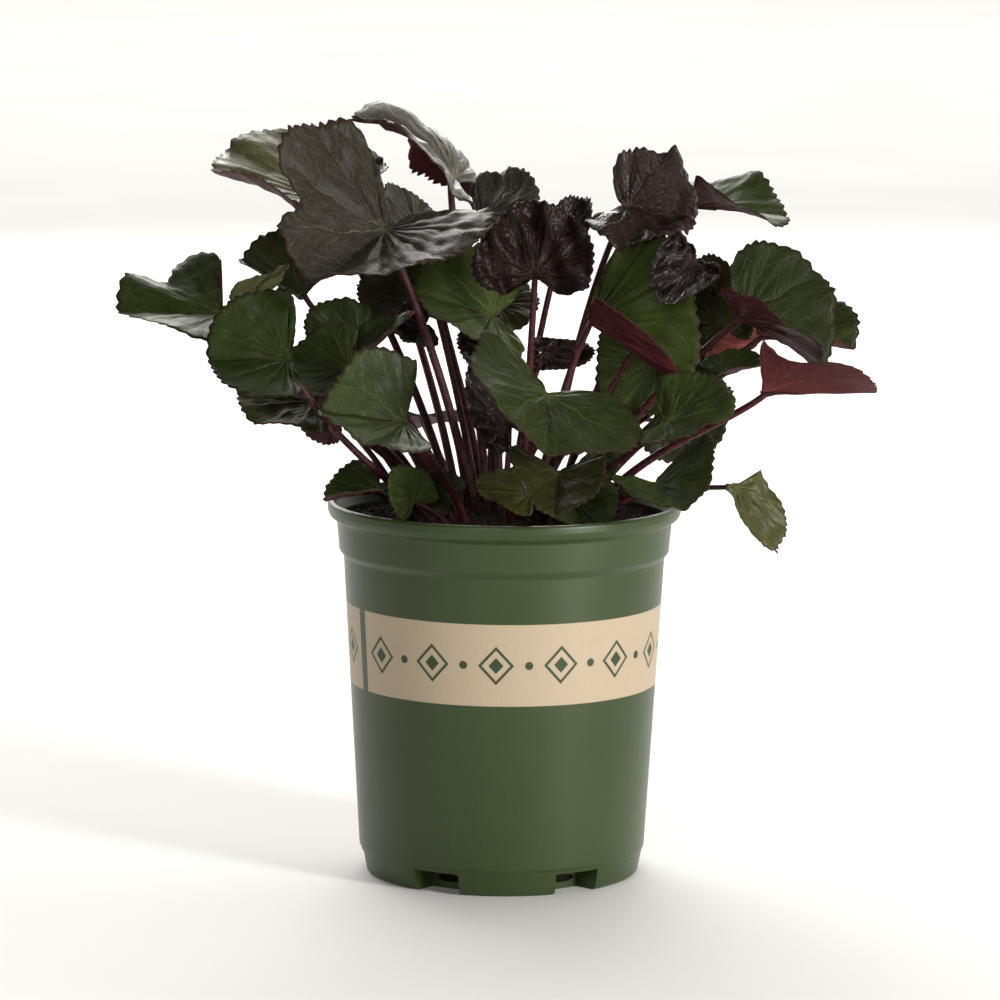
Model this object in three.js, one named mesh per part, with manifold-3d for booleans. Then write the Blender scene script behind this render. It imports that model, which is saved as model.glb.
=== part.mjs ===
// Potted pandora ligularia: a clump of long-stalked, round, tooth-edged leaves in a moulded nursery pot.
// Millimetres, +Z up. The origin is the middle of the pot's underside, and the front faces -Y.
import * as THREE from 'three';
import { mergeVertices } from 'three/addons/utils/BufferGeometryUtils.js';
import Module from 'manifold-3d';

const wasm = await Module();
wasm.setup();

// Pot
const potHeight = 175;
const rimRadius = 82.5;
const rimInnerRadius = 80;
const footRadius = 64.3;
const floorThickness = 2;
const wallThickness = 1.6;
const potSegments = 36;
const outerProfile = [ // [radius, height], from under the floor up to the rim
  [0, 0], [62.6, 0], [footRadius, 1.4], [66.3, 11.8], [66.9, 12.6], [74.9, 149.4], [77, 152.4],
  [78.2, 166], [81.5, 168.5], [rimRadius, 171], [rimRadius, 174], [81.8, potHeight],
  [rimInnerRadius, potHeight], [0, potHeight],
];
const innerProfile = [ // [radius, height] of the hollow, from the floor up past the rim
  [0, floorThickness], [62.4, floorThickness], [65.2, 13], [73.2, 150], [75.5, 153], [76.7, 168],
  [79.4, 172.5], [rimInnerRadius, potHeight], [rimInnerRadius, potHeight + 5], [0, potHeight + 5],
];

// Drain pockets round the foot of the pot, each with a slot in its back wall
const pocketCount = 6;
const pocketTurn = 2.5; // degrees round from the front
const pocketHalfAngle = 10; // degrees
const pocketHeight = 10.3;
const pocketBackRadius = 52;
const slotWidth = 13;
const slotHeight = 3.6;
const slotMiddleHeight = 4.8;

// Soil
const soilEdgeHeight = 165;
const soilCrownHeight = 169;
const soilRadius = 75.9;
const gap = 0.35; // clearance between the pieces
const rootDepth = 12; // how far each stalk stands in the soil

// Leaf
const bladeThickness = 0.7;
const lobeShortening = 0.28;
const sinusHalfAngle = 48; // degrees
const sinusSharpness = 4;
const sinusFloor = 0.06;
const lobeEnd = 142; // degrees from the tip
const earsUsual = 0.85; // how far the lobes run back past the stalk, as a share of a full circle's
const waveUsual = 0.035; // how high the margin ripples, as a share of the leaf's length
const toothDepth = 0.075;
const toothLean = 0.25;
const ringAngles = [-128, -96, -64, -32, 0, 32, 64, 96, 128];
const petioleSides = 5;
const petioleSteps = 4;
const ribShare = 0.3; // how far under the blade the stalk runs on, as a share of the leaf's length
const ribRadius = 0.5;
const stalkTaper = 0.75; // radius at the blade as a share of the radius at the soil
const stalkStart = 1.5; // the bend of a stalk begins this far over the soil

const tones = {
  green: 0x303c1e,
  dark: 0x2c3021,
  grey: 0x57534a,
  bronze: 0x35251f,
  olive: 0x484628,
};

// Each leaf: where its blade meets the stalk (hub), which way the blade points (tip) and faces (face), its
// length from hub to tip, and how it is lifted, curled, arched and twisted, in degrees. ears and wide are
// how far back and how far out the lobes reach, wave and seed how the margin ripples. A fold lies at an angle
// from the tip and fades over its spread; there the margin is drawn in and pushed out of the face, as shares
// of the length. Pairs are given left then right, looking along the blade with its face up. root is where
// the stalk leaves the soil, bend and rise how it gets from there to the hub, and stalk its radius.
const leaves = [
  {
    hub: [-56, -20, 303], tip: [-5.7, -6.6, -4.9], face: [0.8, -6.4, 7.7], size: 68, root: [-14, -6],
    folds: [
      { at: -47, spread: 11, draw: 0.33, push: -0.12 },
      { at: -6, spread: 16, draw: 0.16, push: 0 },
      { at: 50, spread: 22, draw: 0.1, push: 0.03 },
      { at: -108, spread: 18, draw: 0.07, push: 0 },
    ],
    lift: [31, 31], curl: [0, 15], arch: 25, wave: 0.04, stalk: 2.1, tone: 'grey',
  },
  {
    hub: [-86, 45, 312], tip: [-7.5, 4, 3.5], face: [3, -6, 5.5], size: 54, root: [-24, 12],
    lift: [5, 0], curl: [75, -10], arch: -5, ears: [0.85, 0.45], wide: [0.9, 0.9], stalk: 1.9,
    tone: 'olive',
  },
  {
    hub: [-26, 62, 320], tip: [-6, 0, 9], face: [7.2, -3.3, 6], size: 58, root: [-8, 4],
    folds: [
      { at: 28, spread: 20, draw: 0.22, push: 0 },
      { at: -28, spread: 20, draw: 0.25, push: 0 },
    ],
    lift: [25, 25], curl: [-10, -110], arch: -56, lobes: -20, ears: [0.7, 0.7], wide: [0.6, 1.2],
    bend: [0, 8, 0], stalk: 2, tone: 'grey',
  },
  {
    hub: [-11, 17, 305], tip: [8, -1.9, 3.6], face: [-2, -5, 7], size: 28, root: [-4, 14],
    lift: [8, 10], curl: [0, 10], ears: [0.4, 0.4], wide: [1, 0.6], stalk: 1.8, tone: 'grey',
  },
  {
    hub: [-42, 2, 303], tip: [-5.5, 1.2, 7.1], face: [2, -7, 4], size: 22, root: [-13, 8],
    lift: [10, 10], curl: [10, 10], ears: [0.3, 0.3], wide: [0.6, 0.5], stalk: 1.5, tone: 'grey',
  },
  {
    hub: [13, -28, 284], tip: [0, 3, 9], face: [0, -9, 3], size: 31, root: [8, -14],
    lift: [10, 10], curl: [10, 10], arch: 10, lobes: 30, stalk: 1.8, tone: 'bronze',
  },
  {
    hub: [24, 8, 289], tip: [3, 3, 8], face: [1, -9, 3], size: 30, root: [3, 12],
    lift: [20, 20], curl: [40, 40], wide: [0.45, 0.4], stalk: 1.7, tone: 'bronze',
  },
  {
    hub: [56, 14, 312], tip: [9, -1, -1.5], face: [0, -2, 9], size: 31, root: [18, 8],
    folds: [
      { at: 118, spread: 14, draw: 0.16, push: 0 },
      { at: 60, spread: 9, draw: 0.08, push: 0.1 },
    ],
    lift: [75, -17], ears: [0.85, 1.45], stalk: 1.8, tone: 'bronze',
  },
  {
    hub: [86, -14, 291], tip: [-5.5, -5.2, -4.8], face: [3, -8, 4], size: 28, root: [22, -4],
    lift: [10, 10], curl: [20, 20], ears: [0.3, 0.3], wide: [0.6, 0.6], stalk: 1.5, tone: 'bronze',
  },
  {
    hub: [86, 52, 309], tip: [9, 0, -1], face: [0, -1, 9], size: 44, root: [25, 13],
    folds: [{ at: 70, spread: 16, draw: 0.27, push: 0 }],
    lift: [5, 30], twist: 28, ears: [0, 0], wave: 0.02, stalk: 1.8, tone: 'green',
  },
  {
    hub: [109, -10, 263], tip: [8, -1, -4.2], face: [3, -1, 9], size: 43, root: [32, 0],
    lift: [60, 22], curl: [0, 10], arch: -10, ears: [1, 0.85], stalk: 2, tone: 'green',
  },
  {
    hub: [119, 10, 252], tip: [8.9, 0, -1], face: [0, -4, 8], size: 43, root: [36, 7],
    lift: [30, 60], ears: [0.2, 0.2], wide: [0.75, 0.3], stalk: 1.9, tone: 'green',
  },
  {
    hub: [119, -40, 232], tip: [9, -0.9, 0.3], face: [0, 0, 9], size: 51, root: [39, -12],
    folds: [{ at: -74, spread: 12, draw: 0.24, push: 0 }],
    lift: [0, 72], twist: 50, ears: [0.1, 0.1], wide: [0.3, 0.55], wave: 0.035, seed: 4.63,
    stalk: 1.9, tone: 'olive',
  },
  {
    hub: [39, -8, 260], tip: [6.8, -3.5, -4.6], face: [-2.3, -8.1, 2.8], size: 53, root: [14, -10],
    lift: [0, 135], curl: [10, 15], ears: [0.5, 0.15], wide: [1, 0.32], stalk: 2, tone: 'green',
  },
  {
    hub: [70, 6, 240], tip: [-9, 0, 0.5], face: [0, -8, 0], size: 28, root: [24, -8],
    lift: [10, 10], curl: [10, 10], arch: -10, stalk: 1.7, tone: 'green',
  },
  {
    hub: [74, -55, 220], tip: [9, -2, 2.6], face: [-2, -5, 7], size: 30, root: [29, -15],
    lift: [-5, 15], curl: [35, 10], ears: [0.45, 1.2], wide: [1, 0.75], stalk: 1.7, tone: 'green',
  },
  {
    hub: [69, -52, 191], tip: [3, -8, -2], face: [0, -1.5, 8.8], size: 32, root: [36, -26],
    lift: [35, 12], curl: [10, 0], ears: [0.5, 0.5], wide: [1.1, 0.8], stalk: 1.7, tone: 'green',
  },
  {
    hub: [107, -10, 184], tip: [4.9, -1.6, -7.4], face: [6, -5, 4], size: 35, root: [45, -3],
    lift: [20, 15], curl: [10, 10], ears: [0, 0.2], wide: [0.52, 0.42], stalk: 1.4, tone: 'olive',
  },
  {
    hub: [19, -60, 232], tip: [0, -7, -4], face: [4, -5.5, 7.5], size: 42, root: [6, -24],
    folds: [
      { at: 15, spread: 35, draw: 0.12, push: 0 },
      { at: -85, spread: 22, draw: 0.12, push: 0 },
    ],
    lift: [5, 15], lobes: 10, ears: [0.85, 1.25], wide: [1.15, 1.2], stalk: 2, tone: 'green',
  },
  {
    hub: [18, 4.5, 244], tip: [9, -1, 0], face: [0, -8, 0], size: 22, root: [3, -4],
    curl: [-10, -10], ears: [0.8, 0.8], wide: [0.36, 0.4], stalk: 1.5, tone: 'bronze',
  },
  {
    hub: [-7, 7, 261], tip: [-8, -3, 3], face: [2, -4, 8], size: 36, root: [-2, -2],
    lift: [0, 40], curl: [10, 0], arch: -5, stalk: 1.9, tone: 'green',
  },
  {
    hub: [-4, 42, 263], tip: [9, 0, 0], face: [0, -5, 7], size: 19, root: [-5, 22],
    stalk: 1.4, tone: 'olive',
  },
  {
    hub: [-131, -10, 262], tip: [-9, -1, 0.4], face: [1, -4, 8], size: 46, root: [-40, 4],
    folds: [
      { at: -47, spread: 12, draw: 0.22, push: -0.08 },
      { at: -106, spread: 16, draw: 0.3, push: 0 },
    ],
    lift: [24, 12], ears: [-0.2, -0.2], wide: [1.1, 0.95], bend: [0, 14, 4], wave: 0.06, seed: 3.75,
    stalk: 1.9, tone: 'green',
  },
  {
    hub: [-123, -12, 267], tip: [7, 0, 5.5], face: [-5, -3, 5], size: 26, root: [-45, -4],
    lift: [60, -30], ears: [0.2, 0.2], wide: [0.3, 0.2], stalk: 1.4, tone: 'olive',
  },
  {
    hub: [-95, 24, 269], tip: [-8, 1, 4], face: [2, -6, 5], size: 32, root: [-31, 6],
    lift: [50, 15], ears: [0.4, 0.4], stalk: 1.7, tone: 'dark',
  },
  {
    hub: [-99, -66, 248], tip: [-9, -1.5, 0.5], face: [0, -8, 5], size: 36, root: [-34, -24],
    lift: [30, 5], curl: [10, 10], ears: [0.3, 0.3], bend: [0, -4, -18], stalk: 1.8, tone: 'green',
  },
  {
    hub: [-72, -39, 241], tip: [-9, 2, 1], face: [1, -7, 6], size: 29, root: [-25, -20],
    folds: [
      { at: -112, spread: 24, draw: 0.35, push: 0 },
      { at: 112, spread: 24, draw: 0.25, push: 0 },
    ],
    lift: [18, 10], curl: [10, 10], ears: [0.1, 0.1], wide: [1, 0.85], stalk: 1.7, tone: 'green',
  },
  {
    hub: [-88, -33, 225], tip: [-9, -1, 0.5], face: [0, -3, 8], size: 33, root: [-34, -10],
    ears: [0.4, 0.4], wide: [1, 0.8], bend: [0, 3, 6], stalk: 1.7, tone: 'dark',
  },
  {
    hub: [-78, -10, 215], tip: [-8.2, 0, 3.7], face: [0, 8, 3], size: 18, root: [-32, -4],
    stalk: 1.6, tone: 'dark',
  },
  {
    hub: [-46, -62, 219], tip: [-8.6, -1, 2], face: [0, -1.5, 8.5], size: 38, root: [-18, -30],
    lift: [-5, 55], curl: [0, 10], ears: [0.85, 0.1], wide: [1, 0.9], stalk: 1.8, tone: 'green',
  },
  {
    hub: [-68, 0, 247], tip: [-8, 0, 4.5], face: [3, -6, 6], size: 27, root: [-22, -6],
    lift: [20, 30], ears: [0, 0], wide: [1, 0.8], stalk: 1.6, tone: 'green',
  },
  {
    hub: [-69, -22, 242], tip: [6.8, 0.6, 5.9], face: [-3, -5, 5], size: 32, root: [-22, -13],
    lift: [0, 50], curl: [0, 10], ears: [0, 0], wide: [0.5, 0.35], stalk: 1.5, tone: 'green',
  },
  {
    hub: [-44, 34, 265], tip: [-9, 0, 3.5], face: [2, -6, 6], size: 26, root: [-16, 16],
    lift: [5, 10], ears: [0.2, 0.2], stalk: 1.6, tone: 'olive',
  },
  {
    hub: [-38, 6, 256], tip: [-8, -2, -1], face: [1, -7, 6], size: 14, root: [-17, 1],
    lift: [10, 10], stalk: 1.2, tone: 'bronze',
  },
  {
    hub: [2, -11, 212], tip: [-4.5, 1, 8], face: [1, -8, 3], size: 30, root: [0, -20],
    lift: [10, 10], wide: [0.6, 0.6], stalk: 1.5, tone: 'bronze',
  },
  {
    hub: [-8, -6, 247], tip: [-9, 0, 4], face: [2, -6, 6], size: 15, root: [-7, -3],
    stalk: 1.3, tone: 'bronze',
  },
  {
    hub: [101, 14, 257], tip: [-2.6, 1.1, 8.6], face: [-3, -8, 1], size: 32, root: [31, 12],
    lift: [5, 5], curl: [20, 20], wide: [0.6, 0.6], stalk: 1.7, tone: 'olive',
  },
  {
    hub: [92, 26, 248], tip: [8, 0, 2.5], face: [0, 8, 1], size: 26, root: [35, 18],
    wide: [0.7, 0.7], stalk: 1.7, tone: 'green',
  },
  {
    hub: [100, -14, 237], tip: [9, 0, 2], face: [0, -1, 9], size: 24, root: [37, -1],
    lift: [25, 15], wide: [0.7, 0.7], stalk: 1.5, tone: 'green',
  },
  {
    hub: [76, 5, 221], tip: [7.9, 0, -4.3], face: [0, -8, 2], size: 28, root: [27, 4],
    lift: [5, 5], ears: [0.3, 0.3], stalk: 1.5, tone: 'dark',
  },
  {
    hub: [40, -17, 200], tip: [8.6, 0, -2.5], face: [0, -8, 0], size: 15, root: [21, -17],
    stalk: 1.3, tone: 'green',
  },
  {
    hub: [24, -72, 198], tip: [-0.5, -7, -5], face: [0, -5, 7], size: 28, root: [18, -33],
    lift: [28, 35], ears: [0.3, 0.3], stalk: 1.8, tone: 'olive',
  },
  {
    hub: [11, -60, 187], tip: [-9, -1, 2], face: [0, -6, 6], size: 23, root: [2, -36],
    ears: [0.3, 0.3], wide: [0.6, 0.6], stalk: 1.4, tone: 'olive',
  },
  {
    hub: [32, -43, 182], tip: [8, -2, -2], face: [1, -6, 6], size: 20, root: [26, -28],
    lift: [0, 10], stalk: 1.4, tone: 'green',
  },
  {
    hub: [-58, -36, 184], tip: [-9, -1, -1], face: [0, -2, 8], size: 24, root: [-44, -17],
    lift: [25, 18], ears: [0.2, 0.2], stalk: 1.5, tone: 'green',
  },
  {
    hub: [-42, -45, 182], tip: [-3, -2, 6], face: [3, -6, 3], size: 17, root: [-27, -36],
    lift: [0, 40], wide: [0.8, 0.8], stalk: 1.4, tone: 'green',
  },
  {
    hub: [-25, -28, 181], tip: [-6, 0, 4], face: [1, -9, 2], size: 11, root: [-22, -26],
    stalk: 1.2, tone: 'dark',
  },
  {
    hub: [-56, 80, 289], tip: [-4, 7, 2], face: [0, 1, 8], size: 45, root: [-22, 24],
    lift: [5, 5], arch: -10, stalk: 1.9, tone: 'green',
  },
  {
    hub: [-32, 95, 258], tip: [-3, 8, 1], face: [0, 1, 8], size: 42, root: [-10, 30],
    lift: [5, 5], arch: -10, stalk: 1.9, tone: 'dark',
  },
  {
    hub: [74, 85, 255], tip: [3, 8, -1], face: [0, 1, 8], size: 45, root: [16, 28],
    lift: [5, 5], arch: -10, wide: [0.75, 0.75], stalk: 1.9, tone: 'green',
  },
  {
    hub: [26, 75, 213], tip: [1, 9, -2], face: [0, 1, 8], size: 42, root: [4, 34],
    lift: [5, 5], arch: -10, stalk: 1.8, tone: 'green',
  },
  {
    hub: [-96, 65, 235], tip: [-6, 6, -1], face: [0, 1, 8], size: 40, root: [-35, 22],
    lift: [5, 5], arch: -10, stalk: 1.8, tone: 'green',
  },
  {
    hub: [75, 62, 205], tip: [3, 8, -1], face: [0, 1, 8], size: 32, root: [36, 28],
    lift: [5, 5], arch: -10, stalk: 1.7, tone: 'olive',
  },
  {
    hub: [114, 75, 262], tip: [4, 7, 1], face: [0, 1, 8], size: 38, root: [28, 22],
    lift: [5, 5], arch: -10, stalk: 1.8, tone: 'green',
  },
  {
    hub: [-40, 66, 206], tip: [-1, 8, -2], face: [0, 1, 8], size: 32, root: [-23, 34],
    lift: [5, 5], arch: -10, stalk: 1.7, tone: 'green',
  },
];

const degrees = (d) => THREE.MathUtils.degToRad(d);
const point = (p) => new THREE.Vector3(p[0], p[1], p[2]);

// Turns an indexed set of points and triangles into a solid that can be joined and cut.
function solidOf(points, triangles) {
  const vertProperties = new Float32Array(points.flatMap((p) => [p.x, p.y, p.z]));
  const triVerts = new Uint32Array(triangles.flat());
  return new wasm.Manifold(new wasm.Mesh({ numProp: 3, vertProperties, triVerts }));
}

// Welds a closed geometry's seams and leaves out its empty triangles.
function welded(geometry) {
  geometry.deleteAttribute('normal');
  geometry.deleteAttribute('uv');
  const { index, attributes } = mergeVertices(geometry, 1e-3);
  const points = [];
  for (let i = 0; i < attributes.position.count; i++) {
    points.push(new THREE.Vector3().fromBufferAttribute(attributes.position, i));
  }
  const triangles = [];
  for (let i = 0; i < index.count; i += 3) {
    const [a, b, c] = [index.getX(i), index.getX(i + 1), index.getX(i + 2)];
    if (a !== b && b !== c && a !== c) triangles.push([a, b, c]);
  }
  return solidOf(points, triangles);
}

function geometryOf(solid) {
  const { vertProperties, triVerts, numProp } = solid.getMesh();
  const positions = [];
  for (let i = 0; i < vertProperties.length; i += numProp) {
    positions.push(vertProperties[i], vertProperties[i + 1], vertProperties[i + 2]);
  }
  const geometry = new THREE.BufferGeometry();
  geometry.setAttribute('position', new THREE.Float32BufferAttribute(positions, 3));
  geometry.setIndex(Array.from(triVerts));
  geometry.computeVertexNormals();
  return geometry;
}

function turned(profile) {
  const outline = profile.map(([radius, height]) => new THREE.Vector2(radius, height));
  return welded(new THREE.LatheGeometry(outline, potSegments).rotateX(Math.PI / 2));
}

// An upright block between two radii and within an angle either side of a middle direction.
function sectorBlock(innerRadius, outerRadius, middle, halfAngle, bottom, top) {
  const shape = new THREE.Shape();
  shape.absarc(0, 0, outerRadius, middle - halfAngle, middle + halfAngle, false);
  shape.absarc(0, 0, innerRadius, middle + halfAngle, middle - halfAngle, true);
  const options = { depth: top - bottom, bevelEnabled: false, curveSegments: 2 };
  return welded(new THREE.ExtrudeGeometry(shape, options).translate(0, 0, bottom));
}

// A tube through a list of points, with a radius for each, closed at both ends.
function tube(path, radii, sides) {
  const points = [];
  let side = new THREE.Vector3(1, 0, 0);
  path.forEach((p, i) => {
    const before = path[Math.max(i - 1, 0)];
    const after = path[Math.min(i + 1, path.length - 1)];
    const tangent = after.clone().sub(before).normalize();
    side = side.clone().addScaledVector(tangent, -side.dot(tangent)).normalize();
    const other = tangent.clone().cross(side);
    for (let k = 0; k < sides; k++) {
      const angle = (2 * Math.PI * k) / sides;
      const out = side.clone().multiplyScalar(Math.cos(angle)).addScaledVector(other, Math.sin(angle));
      points.push(p.clone().addScaledVector(out, radii[i]));
    }
  });
  const triangles = [];
  for (let i = 0; i + 1 < path.length; i++) {
    for (let k = 0; k < sides; k++) {
      const [a, b] = [i * sides + k, i * sides + ((k + 1) % sides)];
      triangles.push([a, b, b + sides], [a, b + sides, a + sides]);
    }
  }
  const last = (path.length - 1) * sides;
  for (let k = 1; k + 1 < sides; k++) {
    triangles.push([0, k + 1, k], [last, last + k, last + k + 1]);
  }
  return solidOf(points, triangles);
}

const pocketMiddles = Array.from({ length: pocketCount }, (_, i) => (
  degrees(-90 + pocketTurn + (360 / pocketCount) * (i + 0.5))
));

// The wall round a pocket, seen from inside the pot, made bigger by extra.
function pocketHousing(middle, extra) {
  const halfAngle = degrees(pocketHalfAngle + 2) + extra / pocketBackRadius;
  const back = pocketBackRadius - wallThickness - extra;
  return sectorBlock(back, rimRadius, middle, halfAngle, -5, pocketHeight + wallThickness + extra);
}

function makePot() {
  let hollow = turned(innerProfile);
  let pot = turned(outerProfile);
  pocketMiddles.forEach((middle) => {
    hollow = hollow.subtract(pocketHousing(middle, 0));
  });
  pot = pot.subtract(hollow);
  pocketMiddles.forEach((middle) => {
    const halfAngle = degrees(pocketHalfAngle);
    const pocket = sectorBlock(pocketBackRadius, rimRadius, middle, halfAngle, -5, pocketHeight);
    const slotAngle = slotWidth / 2 / pocketBackRadius;
    const bottom = slotMiddleHeight - slotHeight / 2;
    const [inner, outer] = [pocketBackRadius - 4, footRadius];
    const slot = sectorBlock(inner, outer, middle, slotAngle, bottom, bottom + slotHeight);
    pot = pot.subtract(pocket).subtract(slot);
  });
  return pot;
}

// The soil's height rises smoothly from the wall to the crown.
function soilHeight(x, y) {
  const inward = 1 - Math.min(1, Math.hypot(x, y) / soilRadius) ** 2;
  return soilEdgeHeight + (soilCrownHeight - soilEdgeHeight) * inward;
}

// The soil fills the hollow of the pot, a little clear of its wall, with a hole for every stalk.
function makeSoil(stalks) {
  const below = innerProfile.filter(([radius, height]) => radius > 0 && height < soilEdgeHeight);
  const side = below.map(([radius, height]) => [radius - gap - 0.1, Math.max(height, floorThickness + gap)]);
  const top = [[soilRadius, soilEdgeHeight], [45, soilHeight(45, 0)], [0, soilCrownHeight]];
  let soil = turned([[0, floorThickness + gap], ...side, ...top]);
  pocketMiddles.forEach((middle) => {
    soil = soil.subtract(pocketHousing(middle, gap));
  });
  stalks.forEach(({ start, direction, radius }) => {
    const bottom = start.clone().addScaledVector(direction, -rootDepth - gap);
    const top = start.clone().addScaledVector(direction, 4 * stalkStart);
    const holeRadius = (radius + gap) / Math.cos(Math.PI / petioleSides);
    soil = soil.subtract(tube([bottom, top], [holeRadius, holeRadius], petioleSides));
  });
  return soil;
}

function sum(list, amount) {
  return list.reduce((total, item) => total + amount(item), 0);
}

// A fold is strongest along its middle and fades to both sides.
function foldStrength(fold, angle) {
  return Math.exp(-(((angle - degrees(fold.at)) / degrees(fold.spread)) ** 2));
}

// How far the margin stands from the hub, as a share of the leaf's length, at an angle from the tip. Two
// rounded lobes run back past the stalk with an open notch, the sinus, between them.
function outlineReach(angle, leaf) {
  const fromSinus = Math.PI - Math.abs(angle);
  const round = 1 - lobeShortening * Math.sin(angle / 2) ** 2;
  const notch = 1 - Math.exp(-((fromSinus / degrees(sinusHalfAngle)) ** sinusSharpness));
  const uneven = 1 + 0.04 * Math.sin(3 * angle + leaf.seed) + 0.03 * Math.sin(5 * angle + 2.3 * leaf.seed);
  const drawnIn = sum(leaf.folds, (fold) => fold.draw * foldStrength(fold, angle));
  return round * notch * uneven * (1 - drawnIn) + sinusFloor;
}

// How far an arc that starts at one angle and turns evenly goes along and up.
function arc(length, startAngle, turn) {
  if (Math.abs(turn) < 1e-4) return [length * Math.cos(startAngle), length * Math.sin(startAngle)];
  const end = startAngle + turn;
  const radius = length / turn;
  return [radius * (Math.sin(end) - Math.sin(startAngle)), radius * (Math.cos(startAngle) - Math.cos(end))];
}

const tipAxis = new THREE.Vector3(1, 0, 0);

// A point of the blade's middle surface. x runs from hub to tip, y to the left half, z out of the face.
function bladePoint(leaf, angle, share) {
  const reach = share * leaf.size;
  const half = angle >= 0 ? 0 : 1;
  const pastLobe = Math.max(0, Math.abs(angle) - degrees(lobeEnd)) / (Math.PI - degrees(lobeEnd));
  const back = THREE.MathUtils.lerp(leaf.ears[half], earsUsual, pastLobe);
  const along = reach * Math.cos(angle) * (Math.cos(angle) < 0 ? back : 1);
  const across = reach * Math.sin(angle) * leaf.wide[half];
  const turn = degrees(leaf.curl[half]) * (Math.abs(across) / leaf.size);
  const [out, rise] = arc(Math.abs(across), degrees(leaf.lift[half]), turn);
  const bend = degrees(along >= 0 ? leaf.arch : leaf.lobes) * (Math.abs(along) / leaf.size);
  const [run, height] = arc(Math.abs(along), 0, bend);
  const ripple = Math.sin(5 * angle + leaf.seed) + 0.7 * Math.sin(3 * angle + 2 * leaf.seed);
  const pushed = sum(leaf.folds, (fold) => fold.push * foldStrength(fold, angle));
  const up = rise + (leaf.wave * ripple + pushed) * leaf.size * share ** 2;
  const point = new THREE.Vector3(
    Math.sign(along) * (run - up * Math.sin(bend)),
    Math.sign(across) * out,
    height + up * Math.cos(bend),
  );
  return point.applyAxisAngle(tipAxis, degrees(leaf.twist) * (Math.max(0, along) / leaf.size));
}

// The hub, then rings of points, then the margin with its teeth. The margin starts at the sinus.
function bladeLayout(leaf) {
  const rings = leaf.rings.map((share) => ringAngles.map((a) => {
    const angle = degrees(a);
    return { angle, share: share * outlineReach(angle, leaf) };
  }));
  const margin = [{ angle: -Math.PI, share: outlineReach(Math.PI, leaf) }];
  const count = 2 * leaf.teeth;
  for (let i = 0; i <= count; i++) {
    const tooth = i % 2 === 1;
    const middle = degrees(lobeEnd) * ((2 * i) / count - 1);
    const lean = tooth ? toothLean * (degrees(lobeEnd) / count) : 0;
    const angle = middle - Math.sign(middle) * lean;
    margin.push({ angle, share: (tooth ? 1 : 1 - toothDepth) * outlineReach(angle, leaf) });
  }
  return { rings, margin };
}

// Joins two runs of points that go the same way round, each given as [index, angle].
function zip(inner, outer) {
  const triangles = [];
  let [i, o] = [0, 0];
  while (i + 1 < inner.length || o + 1 < outer.length) {
    const outerFirst = i + 1 >= inner.length
      || (o + 1 < outer.length && outer[o + 1][1] <= inner[i + 1][1]);
    const next = outerFirst ? outer[o + 1][0] : inner[i + 1][0];
    triangles.push([inner[i][0], outer[o][0], next]);
    if (outerFirst) o++;
    else i++;
  }
  return triangles.filter(([a, b, c]) => a !== b && b !== c && a !== c);
}

// The triangles of the middle surface: a fan round the hub, then a band from each ring to the next.
function bladeTriangles(rings, margin, sinus) {
  const run = (list, start) => [
    [sinus, -Math.PI], ...list.map((p, i) => [start + i, p.angle]), [sinus, Math.PI],
  ];
  const runs = rings.map((ring, r) => run(ring, 1 + r * ringAngles.length));
  runs.push(run(margin.slice(1), sinus + 1));
  const surface = [];
  for (let i = 0; i + 1 < runs[0].length; i++) {
    surface.push([0, runs[0][i][0], runs[0][i + 1][0]]);
  }
  for (let r = 0; r + 1 < runs.length; r++) surface.push(...zip(runs[r], runs[r + 1]));
  return surface;
}

function surfaceNormals(points, triangles) {
  const normals = points.map(() => new THREE.Vector3());
  triangles.forEach(([a, b, c]) => {
    const along = points[b].clone().sub(points[a]);
    const normal = along.cross(points[c].clone().sub(points[a]));
    [a, b, c].forEach((i) => normals[i].add(normal));
  });
  return normals.map((normal) => normal.normalize());
}

// The middle surface, thickened the same way to both sides and closed along the margin.
function makeBlade(leaf) {
  const { rings, margin } = bladeLayout(leaf);
  const flat = [{ angle: 0, share: 0 }, ...rings.flat(), ...margin];
  const middle = flat.map((p) => bladePoint(leaf, p.angle, p.share));
  const sinus = 1 + rings.flat().length;
  const surface = bladeTriangles(rings, margin, sinus);
  const normals = surfaceNormals(middle, surface);
  const shifted = (by) => middle.map((p, i) => p.clone().addScaledVector(normals[i], by));
  const points = [...shifted(bladeThickness / 2), ...shifted(-bladeThickness / 2)];
  const total = middle.length;
  const triangles = surface.flatMap(([a, b, c]) => [[a, b, c], [total + a, total + c, total + b]]);
  for (let i = 0; i < margin.length; i++) {
    const a = sinus + i;
    const b = sinus + ((i + 1) % margin.length);
    triangles.push([b, a, total + a], [b, total + a, total + b]);
  }
  return { points, triangles };
}

// The leaf's own axes in the part's frame: along to the tip, across to the left, and out of the face.
function leafAxes(leaf) {
  const along = point(leaf.tip).normalize();
  const face = point(leaf.face);
  const out = face.addScaledVector(along, -face.dot(along)).normalize();
  const across = out.clone().cross(along);
  return new THREE.Matrix4().makeBasis(along, across, out).setPosition(point(leaf.hub));
}

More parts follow.
